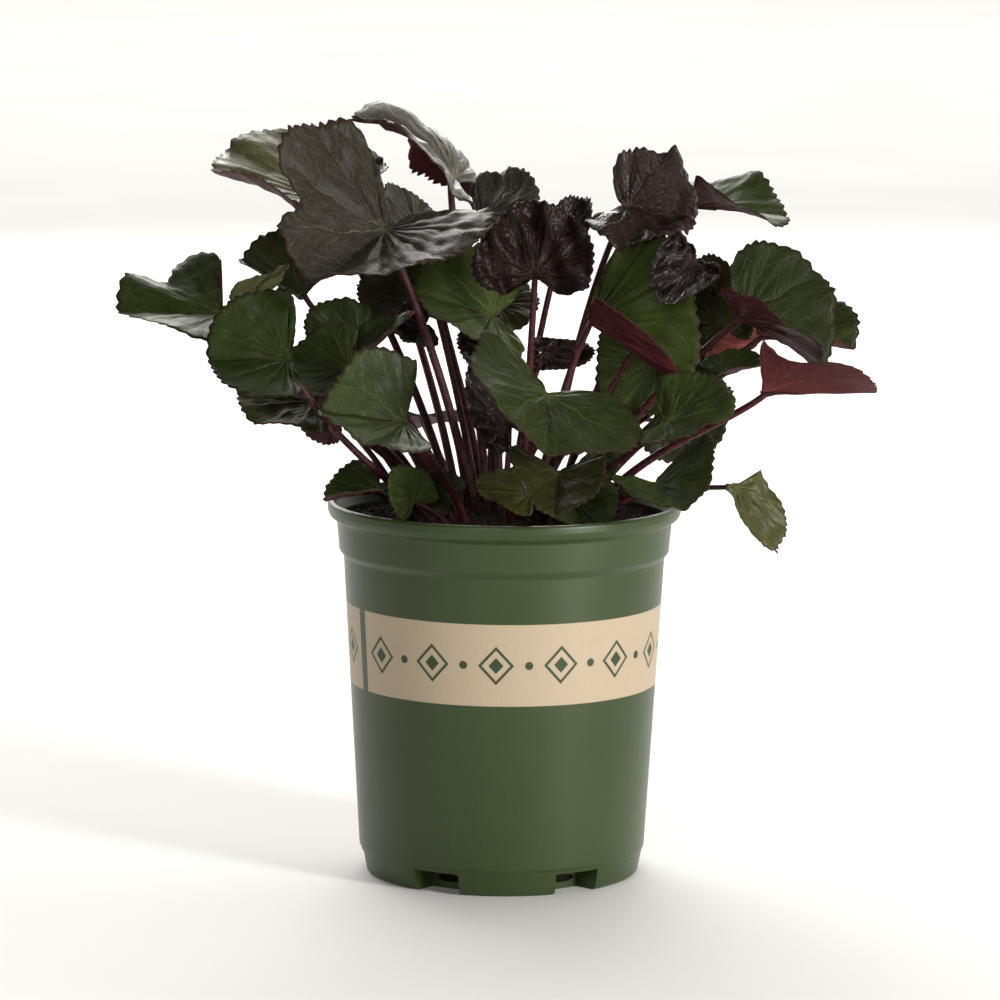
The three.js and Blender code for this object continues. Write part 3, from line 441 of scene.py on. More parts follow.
# One row for each leaf: where its hub is, which way its tip and its upper face point, its length from hub
# to tip, where its stalk leaves the soil, how far each half is lifted, curled and widened, in degrees and
# shares, and its folds. A fold is (middle, spread, how far the margin draws in, how far the blade is pushed
# up). Angles run from the tip and are positive on the left half.
leafPlan = [
    {"hub": (-56, -20, 303), "tip": (-5.7, -6.6, -4.9), "face": (0.8, -6.4, 7.7), "size": 68,
     "root": (-14, -6), "lift": (31, 31), "curl": (0, 15), "arch": 25, "wave": 0.04, "stalk": 2.1,
     "tone": "grey",
     "folds": ((-47, 11, 0.33, -0.12), (-6, 16, 0.16, 0), (50, 22, 0.1, 0.03), (-108, 18, 0.07, 0))},
    {"hub": (-86, 45, 312), "tip": (-7.5, 4, 3.5), "face": (3, -6, 5.5), "size": 54, "root": (-24, 12),
     "lift": (5, 0), "curl": (75, -10), "arch": -5, "ears": (0.85, 0.45), "wide": (0.9, 0.9), "stalk": 1.9,
     "tone": "olive"},
    {"hub": (-26, 62, 320), "tip": (-6, 0, 9), "face": (7.2, -3.3, 6), "size": 58, "root": (-8, 4),
     "lift": (25, 25), "curl": (-10, -110), "arch": -56, "lobes": -20, "ears": (0.7, 0.7),
     "wide": (0.6, 1.2), "bend": (0, 8, 0), "stalk": 2, "tone": "grey",
     "folds": ((28, 20, 0.22, 0), (-28, 20, 0.25, 0))},
    {"hub": (-11, 17, 305), "tip": (8, -1.9, 3.6), "face": (-2, -5, 7), "size": 28, "root": (-4, 14),
     "lift": (8, 10), "curl": (0, 10), "ears": (0.4, 0.4), "wide": (1, 0.6), "stalk": 1.8, "tone": "grey"},
    {"hub": (-42, 2, 303), "tip": (-5.5, 1.2, 7.1), "face": (2, -7, 4), "size": 22, "root": (-13, 8),
     "lift": (10, 10), "curl": (10, 10), "ears": (0.3, 0.3), "wide": (0.6, 0.5), "stalk": 1.5,
     "tone": "grey"},
    {"hub": (13, -28, 284), "tip": (0, 3, 9), "face": (0, -9, 3), "size": 31, "root": (8, -14),
     "lift": (10, 10), "curl": (10, 10), "arch": 10, "lobes": 30, "stalk": 1.8, "tone": "bronze"},
    {"hub": (24, 8, 289), "tip": (3, 3, 8), "face": (1, -9, 3), "size": 30, "root": (3, 12),
     "lift": (20, 20), "curl": (40, 40), "wide": (0.45, 0.4), "stalk": 1.7, "tone": "bronze"},
    {"hub": (56, 14, 312), "tip": (9, -1, -1.5), "face": (0, -2, 9), "size": 31, "root": (18, 8),
     "lift": (75, -17), "ears": (0.85, 1.45), "stalk": 1.8, "tone": "bronze",
     "folds": ((118, 14, 0.16, 0), (60, 9, 0.08, 0.1))},
    {"hub": (86, -14, 291), "tip": (-5.5, -5.2, -4.8), "face": (3, -8, 4), "size": 28, "root": (22, -4),
     "lift": (10, 10), "curl": (20, 20), "ears": (0.3, 0.3), "wide": (0.6, 0.6), "stalk": 1.5,
     "tone": "bronze"},
    {"hub": (86, 52, 309), "tip": (9, 0, -1), "face": (0, -1, 9), "size": 44, "root": (25, 13),
     "lift": (5, 30), "twist": 28, "ears": (0, 0), "wave": 0.02, "stalk": 1.8, "tone": "green",
     "folds": ((70, 16, 0.27, 0),)},
    {"hub": (109, -10, 263), "tip": (8, -1, -4.2), "face": (3, -1, 9), "size": 43, "root": (32, 0),
     "lift": (60, 22), "curl": (0, 10), "arch": -10, "ears": (1, 0.85), "stalk": 2, "tone": "green"},
    {"hub": (119, 10, 252), "tip": (8.9, 0, -1), "face": (0, -4, 8), "size": 43, "root": (36, 7),
     "lift": (30, 60), "ears": (0.2, 0.2), "wide": (0.75, 0.3), "stalk": 1.9, "tone": "green"},
    {"hub": (119, -40, 232), "tip": (9, -0.9, 0.3), "face": (0, 0, 9), "size": 51, "root": (39, -12),
     "lift": (0, 72), "twist": 50, "ears": (0.1, 0.1), "wide": (0.3, 0.55), "wave": 0.035, "seed": 4.63,
     "stalk": 1.9, "tone": "olive", "folds": ((-74, 12, 0.24, 0),)},
    {"hub": (39, -8, 260), "tip": (6.8, -3.5, -4.6), "face": (-2.3, -8.1, 2.8), "size": 53,
     "root": (14, -10), "lift": (0, 135), "curl": (10, 15), "ears": (0.5, 0.15), "wide": (1, 0.32),
     "stalk": 2, "tone": "green"},
    {"hub": (70, 6, 240), "tip": (-9, 0, 0.5), "face": (0, -8, 0), "size": 28, "root": (24, -8),
     "lift": (10, 10), "curl": (10, 10), "arch": -10, "stalk": 1.7, "tone": "green"},
    {"hub": (74, -55, 220), "tip": (9, -2, 2.6), "face": (-2, -5, 7), "size": 30, "root": (29, -15),
     "lift": (-5, 15), "curl": (35, 10), "ears": (0.45, 1.2), "wide": (1, 0.75), "stalk": 1.7,
     "tone": "green"},
    {"hub": (69, -52, 191), "tip": (3, -8, -2), "face": (0, -1.5, 8.8), "size": 32, "root": (36, -26),
     "lift": (35, 12), "curl": (10, 0), "ears": (0.5, 0.5), "wide": (1.1, 0.8), "stalk": 1.7,
     "tone": "green"},
    {"hub": (107, -10, 184), "tip": (4.9, -1.6, -7.4), "face": (6, -5, 4), "size": 35, "root": (45, -3),
     "lift": (20, 15), "curl": (10, 10), "ears": (0, 0.2), "wide": (0.52, 0.42), "stalk": 1.4,
     "tone": "olive"},
    {"hub": (19, -60, 232), "tip": (0, -7, -4), "face": (4, -5.5, 7.5), "size": 42, "root": (6, -24),
     "lift": (5, 15), "lobes": 10, "ears": (0.85, 1.25), "wide": (1.15, 1.2), "stalk": 2, "tone": "green",
     "folds": ((15, 35, 0.12, 0), (-85, 22, 0.12, 0))},
    {"hub": (18, 4.5, 244), "tip": (9, -1, 0), "face": (0, -8, 0), "size": 22, "root": (3, -4),
     "curl": (-10, -10), "ears": (0.8, 0.8), "wide": (0.36, 0.4), "stalk": 1.5, "tone": "bronze"},
    {"hub": (-7, 7, 261), "tip": (-8, -3, 3), "face": (2, -4, 8), "size": 36, "root": (-2, -2),
     "lift": (0, 40), "curl": (10, 0), "arch": -5, "stalk": 1.9, "tone": "green"},
    {"hub": (-4, 42, 263), "tip": (9, 0, 0), "face": (0, -5, 7), "size": 19, "root": (-5, 22), "stalk": 1.4,
     "tone": "olive"},
    {"hub": (-131, -10, 262), "tip": (-9, -1, 0.4), "face": (1, -4, 8), "size": 46, "root": (-40, 4),
     "lift": (24, 12), "ears": (-0.2, -0.2), "wide": (1.1, 0.95), "bend": (0, 14, 4), "wave": 0.06,
     "seed": 3.75, "stalk": 1.9, "tone": "green", "folds": ((-47, 12, 0.22, -0.08), (-106, 16, 0.3, 0))},
    {"hub": (-123, -12, 267), "tip": (7, 0, 5.5), "face": (-5, -3, 5), "size": 26, "root": (-45, -4),
     "lift": (60, -30), "ears": (0.2, 0.2), "wide": (0.3, 0.2), "stalk": 1.4, "tone": "olive"},
    {"hub": (-95, 24, 269), "tip": (-8, 1, 4), "face": (2, -6, 5), "size": 32, "root": (-31, 6),
     "lift": (50, 15), "ears": (0.4, 0.4), "stalk": 1.7, "tone": "dark"},
    {"hub": (-99, -66, 248), "tip": (-9, -1.5, 0.5), "face": (0, -8, 5), "size": 36, "root": (-34, -24),
     "lift": (30, 5), "curl": (10, 10), "ears": (0.3, 0.3), "bend": (0, -4, -18), "stalk": 1.8,
     "tone": "green"},
    {"hub": (-72, -39, 241), "tip": (-9, 2, 1), "face": (1, -7, 6), "size": 29, "root": (-25, -20),
     "lift": (18, 10), "curl": (10, 10), "ears": (0.1, 0.1), "wide": (1, 0.85), "stalk": 1.7,
     "tone": "green", "folds": ((-112, 24, 0.35, 0), (112, 24, 0.25, 0))},
    {"hub": (-88, -33, 225), "tip": (-9, -1, 0.5), "face": (0, -3, 8), "size": 33, "root": (-34, -10),
     "ears": (0.4, 0.4), "wide": (1, 0.8), "bend": (0, 3, 6), "stalk": 1.7, "tone": "dark"},
    {"hub": (-78, -10, 215), "tip": (-8.2, 0, 3.7), "face": (0, 8, 3), "size": 18, "root": (-32, -4),
     "stalk": 1.6, "tone": "dark"},
    {"hub": (-46, -62, 219), "tip": (-8.6, -1, 2), "face": (0, -1.5, 8.5), "size": 38, "root": (-18, -30),
     "lift": (-5, 55), "curl": (0, 10), "ears": (0.85, 0.1), "wide": (1, 0.9), "stalk": 1.8,
     "tone": "green"},
    {"hub": (-68, 0, 247), "tip": (-8, 0, 4.5), "face": (3, -6, 6), "size": 27, "root": (-22, -6),
     "lift": (20, 30), "ears": (0, 0), "wide": (1, 0.8), "stalk": 1.6, "tone": "green"},
    {"hub": (-69, -22, 242), "tip": (6.8, 0.6, 5.9), "face": (-3, -5, 5), "size": 32, "root": (-22, -13),
     "lift": (0, 50), "curl": (0, 10), "ears": (0, 0), "wide": (0.5, 0.35), "stalk": 1.5, "tone": "green"},
    {"hub": (-44, 34, 265), "tip": (-9, 0, 3.5), "face": (2, -6, 6), "size": 26, "root": (-16, 16),
     "lift": (5, 10), "ears": (0.2, 0.2), "stalk": 1.6, "tone": "olive"},
    {"hub": (-38, 6, 256), "tip": (-8, -2, -1), "face": (1, -7, 6), "size": 14, "root": (-17, 1),
     "lift": (10, 10), "stalk": 1.2, "tone": "bronze"},
    {"hub": (2, -11, 212), "tip": (-4.5, 1, 8), "face": (1, -8, 3), "size": 30, "root": (0, -20),
     "lift": (10, 10), "wide": (0.6, 0.6), "stalk": 1.5, "tone": "bronze"},
    {"hub": (-8, -6, 247), "tip": (-9, 0, 4), "face": (2, -6, 6), "size": 15, "root": (-7, -3),
     "stalk": 1.3, "tone": "bronze"},
    {"hub": (101, 14, 257), "tip": (-2.6, 1.1, 8.6), "face": (-3, -8, 1), "size": 32, "root": (31, 12),
     "lift": (5, 5), "curl": (20, 20), "wide": (0.6, 0.6), "stalk": 1.7, "tone": "olive"},
    {"hub": (92, 26, 248), "tip": (8, 0, 2.5), "face": (0, 8, 1), "size": 26, "root": (35, 18),
     "wide": (0.7, 0.7), "stalk": 1.7, "tone": "green"},
    {"hub": (100, -14, 237), "tip": (9, 0, 2), "face": (0, -1, 9), "size": 24, "root": (37, -1),
     "lift": (25, 15), "wide": (0.7, 0.7), "stalk": 1.5, "tone": "green"},
    {"hub": (76, 5, 221), "tip": (7.9, 0, -4.3), "face": (0, -8, 2), "size": 28, "root": (27, 4),
     "lift": (5, 5), "ears": (0.3, 0.3), "stalk": 1.5, "tone": "dark"},
    {"hub": (40, -17, 200), "tip": (8.6, 0, -2.5), "face": (0, -8, 0), "size": 15, "root": (21, -17),
     "stalk": 1.3, "tone": "green"},
    {"hub": (24, -72, 198), "tip": (-0.5, -7, -5), "face": (0, -5, 7), "size": 28, "root": (18, -33),
     "lift": (28, 35), "ears": (0.3, 0.3), "stalk": 1.8, "tone": "olive"},
    {"hub": (11, -60, 187), "tip": (-9, -1, 2), "face": (0, -6, 6), "size": 23, "root": (2, -36),
     "ears": (0.3, 0.3), "wide": (0.6, 0.6), "stalk": 1.4, "tone": "olive"},
    {"hub": (32, -43, 182), "tip": (8, -2, -2), "face": (1, -6, 6), "size": 20, "root": (26, -28),
     "lift": (0, 10), "stalk": 1.4, "tone": "green"},
    {"hub": (-58, -36, 184), "tip": (-9, -1, -1), "face": (0, -2, 8), "size": 24, "root": (-44, -17),
     "lift": (25, 18), "ears": (0.2, 0.2), "stalk": 1.5, "tone": "green"},
    {"hub": (-42, -45, 182), "tip": (-3, -2, 6), "face": (3, -6, 3), "size": 17, "root": (-27, -36),
     "lift": (0, 40), "wide": (0.8, 0.8), "stalk": 1.4, "tone": "green"},
    {"hub": (-25, -28, 181), "tip": (-6, 0, 4), "face": (1, -9, 2), "size": 11, "root": (-22, -26),
     "stalk": 1.2, "tone": "dark"},
    {"hub": (-56, 80, 289), "tip": (-4, 7, 2), "face": (0, 1, 8), "size": 45, "root": (-22, 24),
     "lift": (5, 5), "arch": -10, "stalk": 1.9, "tone": "green"},
    {"hub": (-32, 95, 258), "tip": (-3, 8, 1), "face": (0, 1, 8), "size": 42, "root": (-10, 30),
     "lift": (5, 5), "arch": -10, "stalk": 1.9, "tone": "dark"},
    {"hub": (74, 85, 255), "tip": (3, 8, -1), "face": (0, 1, 8), "size": 45, "root": (16, 28),
     "lift": (5, 5), "arch": -10, "wide": (0.75, 0.75), "stalk": 1.9, "tone": "green"},
    {"hub": (26, 75, 213), "tip": (1, 9, -2), "face": (0, 1, 8), "size": 42, "root": (4, 34),
     "lift": (5, 5), "arch": -10, "stalk": 1.8, "tone": "green"},
    {"hub": (-96, 65, 235), "tip": (-6, 6, -1), "face": (0, 1, 8), "size": 40, "root": (-35, 22),
     "lift": (5, 5), "arch": -10, "stalk": 1.8, "tone": "green"},
    {"hub": (75, 62, 205), "tip": (3, 8, -1), "face": (0, 1, 8), "size": 32, "root": (36, 28),
     "lift": (5, 5), "arch": -10, "stalk": 1.7, "tone": "olive"},
    {"hub": (114, 75, 262), "tip": (4, 7, 1), "face": (0, 1, 8), "size": 38, "root": (28, 22),
     "lift": (5, 5), "arch": -10, "stalk": 1.8, "tone": "green"},
    {"hub": (-40, 66, 206), "tip": (-1, 8, -2), "face": (0, 1, 8), "size": 32, "root": (-23, 34),
     "lift": (5, 5), "arch": -10, "stalk": 1.7, "tone": "green"},
]
litLeaves = (38,)  # the light shines through these, so their undersides are paler


def completed(index, plan):  # a leaf's row with the usual value for whatever the row leaves out
    usualEars = (leafRule["earsUsual"], leafRule["earsUsual"])
    leaf = {"lift": (0, 0), "curl": (0, 0), "arch": 0, "lobes": 0, "twist": 0, "wide": (1, 1),
            "ears": usualEars, "wave": leafRule["wave"], "folds": (), "bend": (0, 0, 0), "rise": 0.35,
            "seed": index * 1.7, "index": index + 1}
    leaf.update(plan)
    return leaf


def foldEffect(leaf, angle, effect):  # a fold is strongest along its middle and fades to both sides
    total = np.zeros_like(angle)
    for middle, spread, drawIn, pushUp in leaf["folds"]:
        off = (angle - math.radians(middle)) / math.radians(spread)
        total += (drawIn if effect == "drawIn" else pushUp) * np.exp(-off ** 2)
    return total


def outlineReach(angle, leaf):
    rule = leafRule
    seed = leaf["seed"]
    fromSinus = np.pi - np.abs(angle)
    rounded = 1 - rule["lobeShortening"] * np.sin(angle / 2) ** 2
    notch = 1 - np.exp(-((fromSinus / math.radians(rule["sinusHalfAngle"])) ** rule["sinusSharpness"]))
    uneven = 1 + 0.04 * np.sin(3 * angle + seed) + 0.03 * np.sin(5 * angle + 2.3 * seed)
    return rounded * notch * uneven * (1 - foldEffect(leaf, angle, "drawIn")) + rule["sinusFloor"]


def arc(length, start, turn):
    turn = np.where(np.abs(turn) < 1e-4, 1e-4, turn)
    radius = length / turn
    return radius * (np.sin(start + turn) - np.sin(start)), radius * (np.cos(start) - np.cos(start + turn))


def pucker(leaf, flat, amount):  # slow swells over the blade, from a few crossed waves
    draw = np.random.default_rng(leafDetail["seed"] + leaf["index"])
    height = np.zeros(len(flat))
    for length, share in leafDetail["puckerWaves"]:
        for _ in range(2):
            heading = draw.uniform(0, 2 * np.pi)
            phase = draw.uniform(0, 2 * np.pi)
            run = flat[:, 0] * math.cos(heading) + flat[:, 1] * math.sin(heading)
            height += share * np.sin(2 * np.pi * run / length + phase)
    return amount * height * 0.7


def bladePoints(leaf, angle, share, relief=0.0):  # share: of the leaf's length, from the hub
    size = leaf["size"]
    reach = share * size
    left = angle >= 0
    lobeEnd = math.radians(leafRule["lobeEnd"])
    pastLobe = np.maximum(0, np.abs(angle) - lobeEnd) / (np.pi - lobeEnd)
    ears = np.where(left, leaf["ears"][0], leaf["ears"][1])
    back = ears + (leafRule["earsUsual"] - ears) * pastLobe
    along = reach * np.cos(angle) * np.where(np.cos(angle) < 0, back, 1)
    across = reach * np.sin(angle) * np.where(left, leaf["wide"][0], leaf["wide"][1])
    curl = np.radians(np.where(left, leaf["curl"][0], leaf["curl"][1])) * np.abs(across) / size
    out, rise = arc(np.abs(across), np.radians(np.where(left, leaf["lift"][0], leaf["lift"][1])), curl)
    bend = np.radians(np.where(along >= 0, leaf["arch"], leaf["lobes"])) * np.abs(along) / size
    run, height = arc(np.abs(along), 0.0, bend)
    ripple = np.sin(5 * angle + leaf["seed"]) + 0.7 * np.sin(3 * angle + 2 * leaf["seed"])
    pushed = leaf["wave"] * ripple + foldEffect(leaf, angle, "pushUp")
    up = rise + pushed * size * share ** 2 + relief
    x, y, z = np.sign(along) * (run - up * np.sin(bend)), np.sign(across) * out, height + up * np.cos(bend)
    twist = math.radians(leaf["twist"]) * np.maximum(0, along) / size
    return np.stack([x, y * np.cos(twist) - z * np.sin(twist), y * np.sin(twist) + z * np.cos(twist)], axis=1)


def marginColumns(leaf):  # angle and reach of each column of the blade, round from the sinus and back to it
    lobeEnd = math.radians(leafRule["lobeEnd"])
    draw = np.random.default_rng(leafDetail["seed"] * 3 + leaf["index"])
    teeth = int(leafDetail["teethBase"] + leafDetail["teethPerMm"] * leaf["size"])
    edges = np.cumsum(np.concatenate([[0], draw.uniform(0.75, 1.25, teeth)]))
    edges = (edges / edges[-1] * 2 - 1) * lobeEnd
    tooth = leafDetail["toothLeast"] + leafDetail["toothPerMm"] * leaf["size"]
    depth = tooth * draw.uniform(0.7, 1.25, teeth) / leaf["size"]
    angles, reaches = [], []
    for t in range(teeth):
        middle = (edges[t] + edges[t + 1]) / 2
        for place, height in leafDetail["toothProfile"]:
            lean = place if middle < 0 or place == 0 else 1 - place  # teeth lean towards the tip
            angles.append(edges[t] + (edges[t + 1] - edges[t]) * lean)
            reaches.append(outlineReach(np.array(angles[-1]), leaf) + depth[t] * (height * 1.6 - 1.0))
    angles.append(edges[-1])
    reaches.append(outlineReach(edges[-1], leaf) - depth[-1])
    order = np.argsort(angles, kind="stable")
    angles, reaches = np.array(angles)[order], np.array(reaches)[order]
    steps = np.linspace(0, 1, leafDetail["sinusSteps"] + 2)[1:-1]
    first, last, floor = reaches[0], reaches[-1], outlineReach(np.array(np.pi), leaf)

    def edge(reach):  # the straight side of the sinus, from the lobe's end to behind the hub
        a = np.array([math.cos(lobeEnd), math.sin(lobeEnd)]) * reach
        b = np.array([-floor, 0.0])
        line = a + (b - a) * steps[:, None]
        return np.arctan2(line[:, 1], line[:, 0]), np.hypot(line[:, 0], line[:, 1])

    edgeAngle, edgeReach = edge(last)
    mirrorAngle, mirrorReach = edge(first)
    angles = np.concatenate([[-np.pi], -mirrorAngle[::-1], angles, edgeAngle, [np.pi]])
    reaches = np.concatenate([[floor], mirrorReach[::-1], reaches, edgeReach, [floor]])
    return angles, reaches


def bladeRelief(leaf, angle, ringShare, flat):  # veins, rays, frill and puckers, in mm off the smooth blade
    look, seed = leafFinishes[leaf["tone"]], leaf["seed"]
    fade = np.clip(ringShare * 3, 0, 1)
    offVein = np.abs(np.sin(np.pi * angle / math.radians(veinPlan["spread"])))
    relief = look["puff"] * (offVein ** 0.7 - 0.6) * fade * leaf["size"] / 50
    middle = np.sqrt(np.clip(4 * ringShare * (1 - ringShare), 0, 1))
    rays = np.sin(23 * angle + seed) + 0.8 * np.sin(37 * angle + 2 * seed)
    relief += leafDetail["rayHeight"] * rays * middle
    frill = np.sin(8 * angle + 3 * seed) + 0.6 * np.sin(13 * angle + 2 * seed)
    relief += leafDetail["frill"] * leaf["size"] * frill * ringShare ** 3
    return relief + pucker(leaf, flat, look["pucker"] + crumples.get(leaf["index"], 0) * ringShare) * fade


def makeBlade(leaf):  # rings of points from the hub out to the toothed margin
    angles, reaches = marginColumns(leaf)
    rings = np.linspace(0, 1, leafDetail["rings"] + 1)[1:] ** 0.85
    columns = len(angles)
    share = np.outer(rings, reaches).ravel()
    angle = np.tile(angles, len(rings))
    ringShare = np.repeat(rings, columns)
    flat = np.stack([share * np.cos(angle), share * np.sin(angle)], axis=1) * leaf["size"]
    points = bladePoints(leaf, angle, share, bladeRelief(leaf, angle, ringShare, flat))
    hub = bladePoints(leaf, np.array([0.0]), np.array([0.0]))
    points = np.concatenate([hub, points])
    flat = np.concatenate([[[0.0, 0.0]], flat])
    ringShare = np.concatenate([[0.0], ringShare])
    grid = 1 + np.arange(len(rings) * columns).reshape(len(rings), columns)
    grid[:, -1] = grid[:, 0]  # both ends of a ring are the same point, behind the hub
    faces = [(0, grid[0, c], grid[0, c + 1]) for c in range(columns - 1)]
    for r in range(len(rings) - 1):
        for c in range(columns - 1):
            faces.append((grid[r, c], grid[r + 1, c], grid[r + 1, c + 1], grid[r, c + 1]))
    return points, flat, ringShare, faces, grid[-1, :-1]


def thickened(points, faces, rim, thickness):  # both faces of the blade and a band round its margin
    normals = np.zeros_like(points)
    for f in faces:
        a, b, c = points[f[0]], points[f[1]], points[f[2]]
        normal = np.cross(b - a, c - a)
        for i in f:
            normals[i] += normal
    lengths = np.linalg.norm(normals, axis=1)
    normals /= np.maximum(lengths, 1e-9)[:, None]
    both = np.concatenate([points + normals * thickness / 2, points - normals * thickness / 2])
    total = len(points)
    under = [tuple(total + i for i in reversed(f)) for f in faces]
    band = []
    for i in range(len(rim)):
        a, b = rim[i], rim[(i + 1) % len(rim)]
        band.append((b, a, total + a, total + b))
    return both, list(faces), under, band


def leafAxes(leaf):
    along = Vector(leaf["tip"]).normalized()
    face = Vector(leaf["face"])
    out = (face - along * face.dot(along)).normalized()
    across = out.cross(along)
    return np.array([along, across, out]), np.array(leaf["hub"], float)


def soilHeight(x, y):
    inward = 1 - min(1, math.hypot(x, y) / leafRule["soilRadius"]) ** 2
    return leafRule["soilEdge"] + (leafRule["soilCrown"] - leafRule["soilEdge"]) * inward


def stalkPath(leaf):
    axes, hubPlace = leafAxes(leaf)
    hub = Vector(hubPlace)
    tip, out = Vector(axes[0]), Vector(axes[2])
    start = Vector((leaf["root"][0], leaf["root"][1], 0))
    start.z = soilHeight(start.x, start.y) + leafRule["stalkStart"]
    reach = hub - start
    straight = reach.normalized()
    direction = straight.lerp(Vector((0, 0, 1)), leaf["rise"]).normalized()
    arrive = (straight + 0.3 * tip + 0.3 * out).normalized()
    bend = Vector(leaf["bend"])
    end = hub - out * 0.7 * leaf["stalk"] * leafRule["stalkTaper"]
    handles = start + direction * 0.4 * reach.length + bend, end - arrive * 0.25 * reach.length + bend
    path, radii = [start - direction * leafRule["rootDepth"]], [leaf["stalk"] * 1.15]
    steps = stalkPlan["steps"]
    for i in range(steps + 1):
        t = i / steps
        u = 1 - t
        path.append(u ** 3 * start + 3 * u * u * t * handles[0] + 3 * u * t * t * handles[1] + t ** 3 * end)
        radii.append(leaf["stalk"] * (1 - (1 - leafRule["stalkTaper"]) * t))
    for share in (0.1, 0.2, leafRule["ribShare"]):
        local = bladePoints(leaf, np.array([0.0]), np.array([share]))[0]
        local[2] -= leafRule["ribRadius"]
        path.append(Vector(local @ axes + hubPlace))
        radii.append(leafRule["ribRadius"] + (radii[steps] - leafRule["ribRadius"]) * 0.5 * (1 - share / 0.3))
    return path, radii


def petioleTree(plan):  # sweeps a ridged round section along a stalk's path, as thick as the path says
    tree, given, end = newTree("petioleTree", {
        "Ridges": ("Int", plan["ridges"]), "Ridge Depth": ("Float", plan["ridgeDepth"]),
        "Sides": ("Int", plan["sides"]), "Skin": ("Material", None)})
    ring = addNode(tree, "GeometryNodeCurvePrimitiveCircle", {"Resolution": given["Sides"], "Radius": 1.0})
    turn = tree.nodes.new("GeometryNodeSplineParameter").outputs["Factor"]
    ridges = calc(tree, "MULTIPLY", calc(tree, "MULTIPLY", turn, given["Ridges"]), 2 * math.pi)
    swell = calc(tree, "MULTIPLY_ADD", calc(tree, "COSINE", ridges), given["Ridge Depth"], 1.0)
    place = tree.nodes.new("GeometryNodeInputPosition").outputs[0]
    ridged = addNode(tree, "ShaderNodeVectorMath", {0: place, "Scale": swell}, operation="SCALE").outputs[0]
    section = addNode(tree, "GeometryNodeSetPosition", {"Geometry": ring.outputs[0], "Position": ridged})
    path = addNode(tree, "GeometryNodeMeshToCurve", {"Mesh": given["Geometry"]}).outputs[0]
    thickness = addNode(tree, "GeometryNodeInputNamedAttribute", {"Name": "thickness"}, data_type="FLOAT")
    swept = addNode(tree, "GeometryNodeCurveToMesh", {
        "Curve": path, "Profile Curve": section.outputs[0], "Scale": thickness.outputs[0], "Fill Caps": True})
    finishTree(tree, end, swept.outputs[0], given["Skin"])
    return tree


def linePiece(name, points):  # one line through the points, for a geometry tree to work on
    mesh = bpy.data.meshes.new(name)
    mesh.from_pydata(points, [(i, i + 1) for i in range(len(points) - 1)], [])
    line = bpy.data.objects.new(name, mesh)
    bpy.context.scene.collection.objects.link(line)
    return line


def stalkPiece(name, leaf, tree):
    path, radii = stalkPath(leaf)
    line = linePiece(name, [tuple(p * mm) for p in path])
    line.data.attributes.new("thickness", "FLOAT", "POINT").data.foreach_set("value", [r * mm for r in radii])
    return grown(line, tree, {"Skin": stalkMaterial})


def joined(first, *others):
    pieces = [first, *others]
    with bpy.context.temp_override(active_object=first, object=first, selected_objects=pieces,
                                   selected_editable_objects=pieces):
        bpy.ops.object.join()
    return first


def makeLeaf(leaf, stalkTree):
    points, flat, share, faces, rim = makeBlade(leaf)
    both, top, under, band = thickened(points, faces, rim, leafRule["thickness"])
    axes, hub = leafAxes(leaf)
    placed = (both @ axes + hub) * mm
    name = f"ligulariaLeaf_{leaf['index']:02d}"
    underSkin = litSkin if leaf["index"] in litLeaves else underSkins[leaf["tone"]]
    places = [0] * len(top) + [1] * len(under) + [0] * len(band)
    blade = meshPiece(name, placed, top + under + band, [topSkinOf(leaf), underSkin], places)
    mesh = blade.data
    mesh.attributes.new("share", "FLOAT", "POINT").data.foreach_set("value", np.concatenate([share, share]))
    draw = np.random.default_rng(leafDetail["seed"] * 5 + leaf["index"])
    # painted light and shade: the leaf's brightness gain, kept as an attribute that scales its upper face's
    # colour
    shade = leafPaintedLightAndGloss.get(leaf["index"], (1.0, 1.0))[0]
    for label, value in (("tone", draw.uniform(-0.35, 0.05)), ("shade", shade)):
        mesh.attributes.new(label, "FLOAT", "POINT").data.foreach_set("value", np.full(len(both), value))
    onMap = np.concatenate([flat, flat]) / mapSpan + 0.5
    corners = np.zeros(len(mesh.loops), int)
    mesh.loops.foreach_get("vertex_index", corners)
    mesh.uv_layers.new(name="bladeMap").data.foreach_set("uv", onMap[corners].ravel())
    return blade, stalkPiece(name + "Stalk", leaf, stalkTree)


def bristleTree(plan):  # short pale bristles standing out of the stalks
    tree, given, end = newTree("bristleTree", {
        "Density": ("Float", plan["density"]), "Length": ("Float", plan["length"]),
        "Thickness": ("Float", plan["thickness"]), "Seed": ("Int", plan["seed"]), "Skin": ("Material", None)})
    spots = addNode(tree, "GeometryNodeDistributePointsOnFaces", {
        "Mesh": given["Geometry"], "Density": given["Density"], "Seed": given["Seed"]})
    hair = addNode(tree, "GeometryNodeMeshCone", {
        "Vertices": 3, "Radius Top": 0.0, "Radius Bottom": given["Thickness"], "Depth": given["Length"]})
    tilt = addNode(tree, "FunctionNodeRandomValue", {
        0: (-0.5, -0.5, 0.0), 1: (0.5, 0.5, 6.28), "Seed": given["Seed"]}, data_type="FLOAT_VECTOR")
    leaning = addNode(tree, "FunctionNodeEulerToRotation", {0: tilt.outputs[0]})
    turned = addNode(tree, "FunctionNodeRotateRotation", {
        "Rotation": spots.outputs["Rotation"], "Rotate By": leaning.outputs[0]}, rotation_space="LOCAL")
    grow = addNode(tree, "FunctionNodeRandomValue", {
        2: 0.5, 3: 1.3, "Seed": given["Seed"]}, data_type="FLOAT")
    hairs = addNode(tree, "GeometryNodeInstanceOnPoints", {
        "Points": spots.outputs["Points"], "Instance": hair.outputs[0], "Rotation": turned.outputs[0],
        "Scale": grow.outputs[1]})
    finishTree(tree, end, hairs.outputs[0], given["Skin"])
    return tree


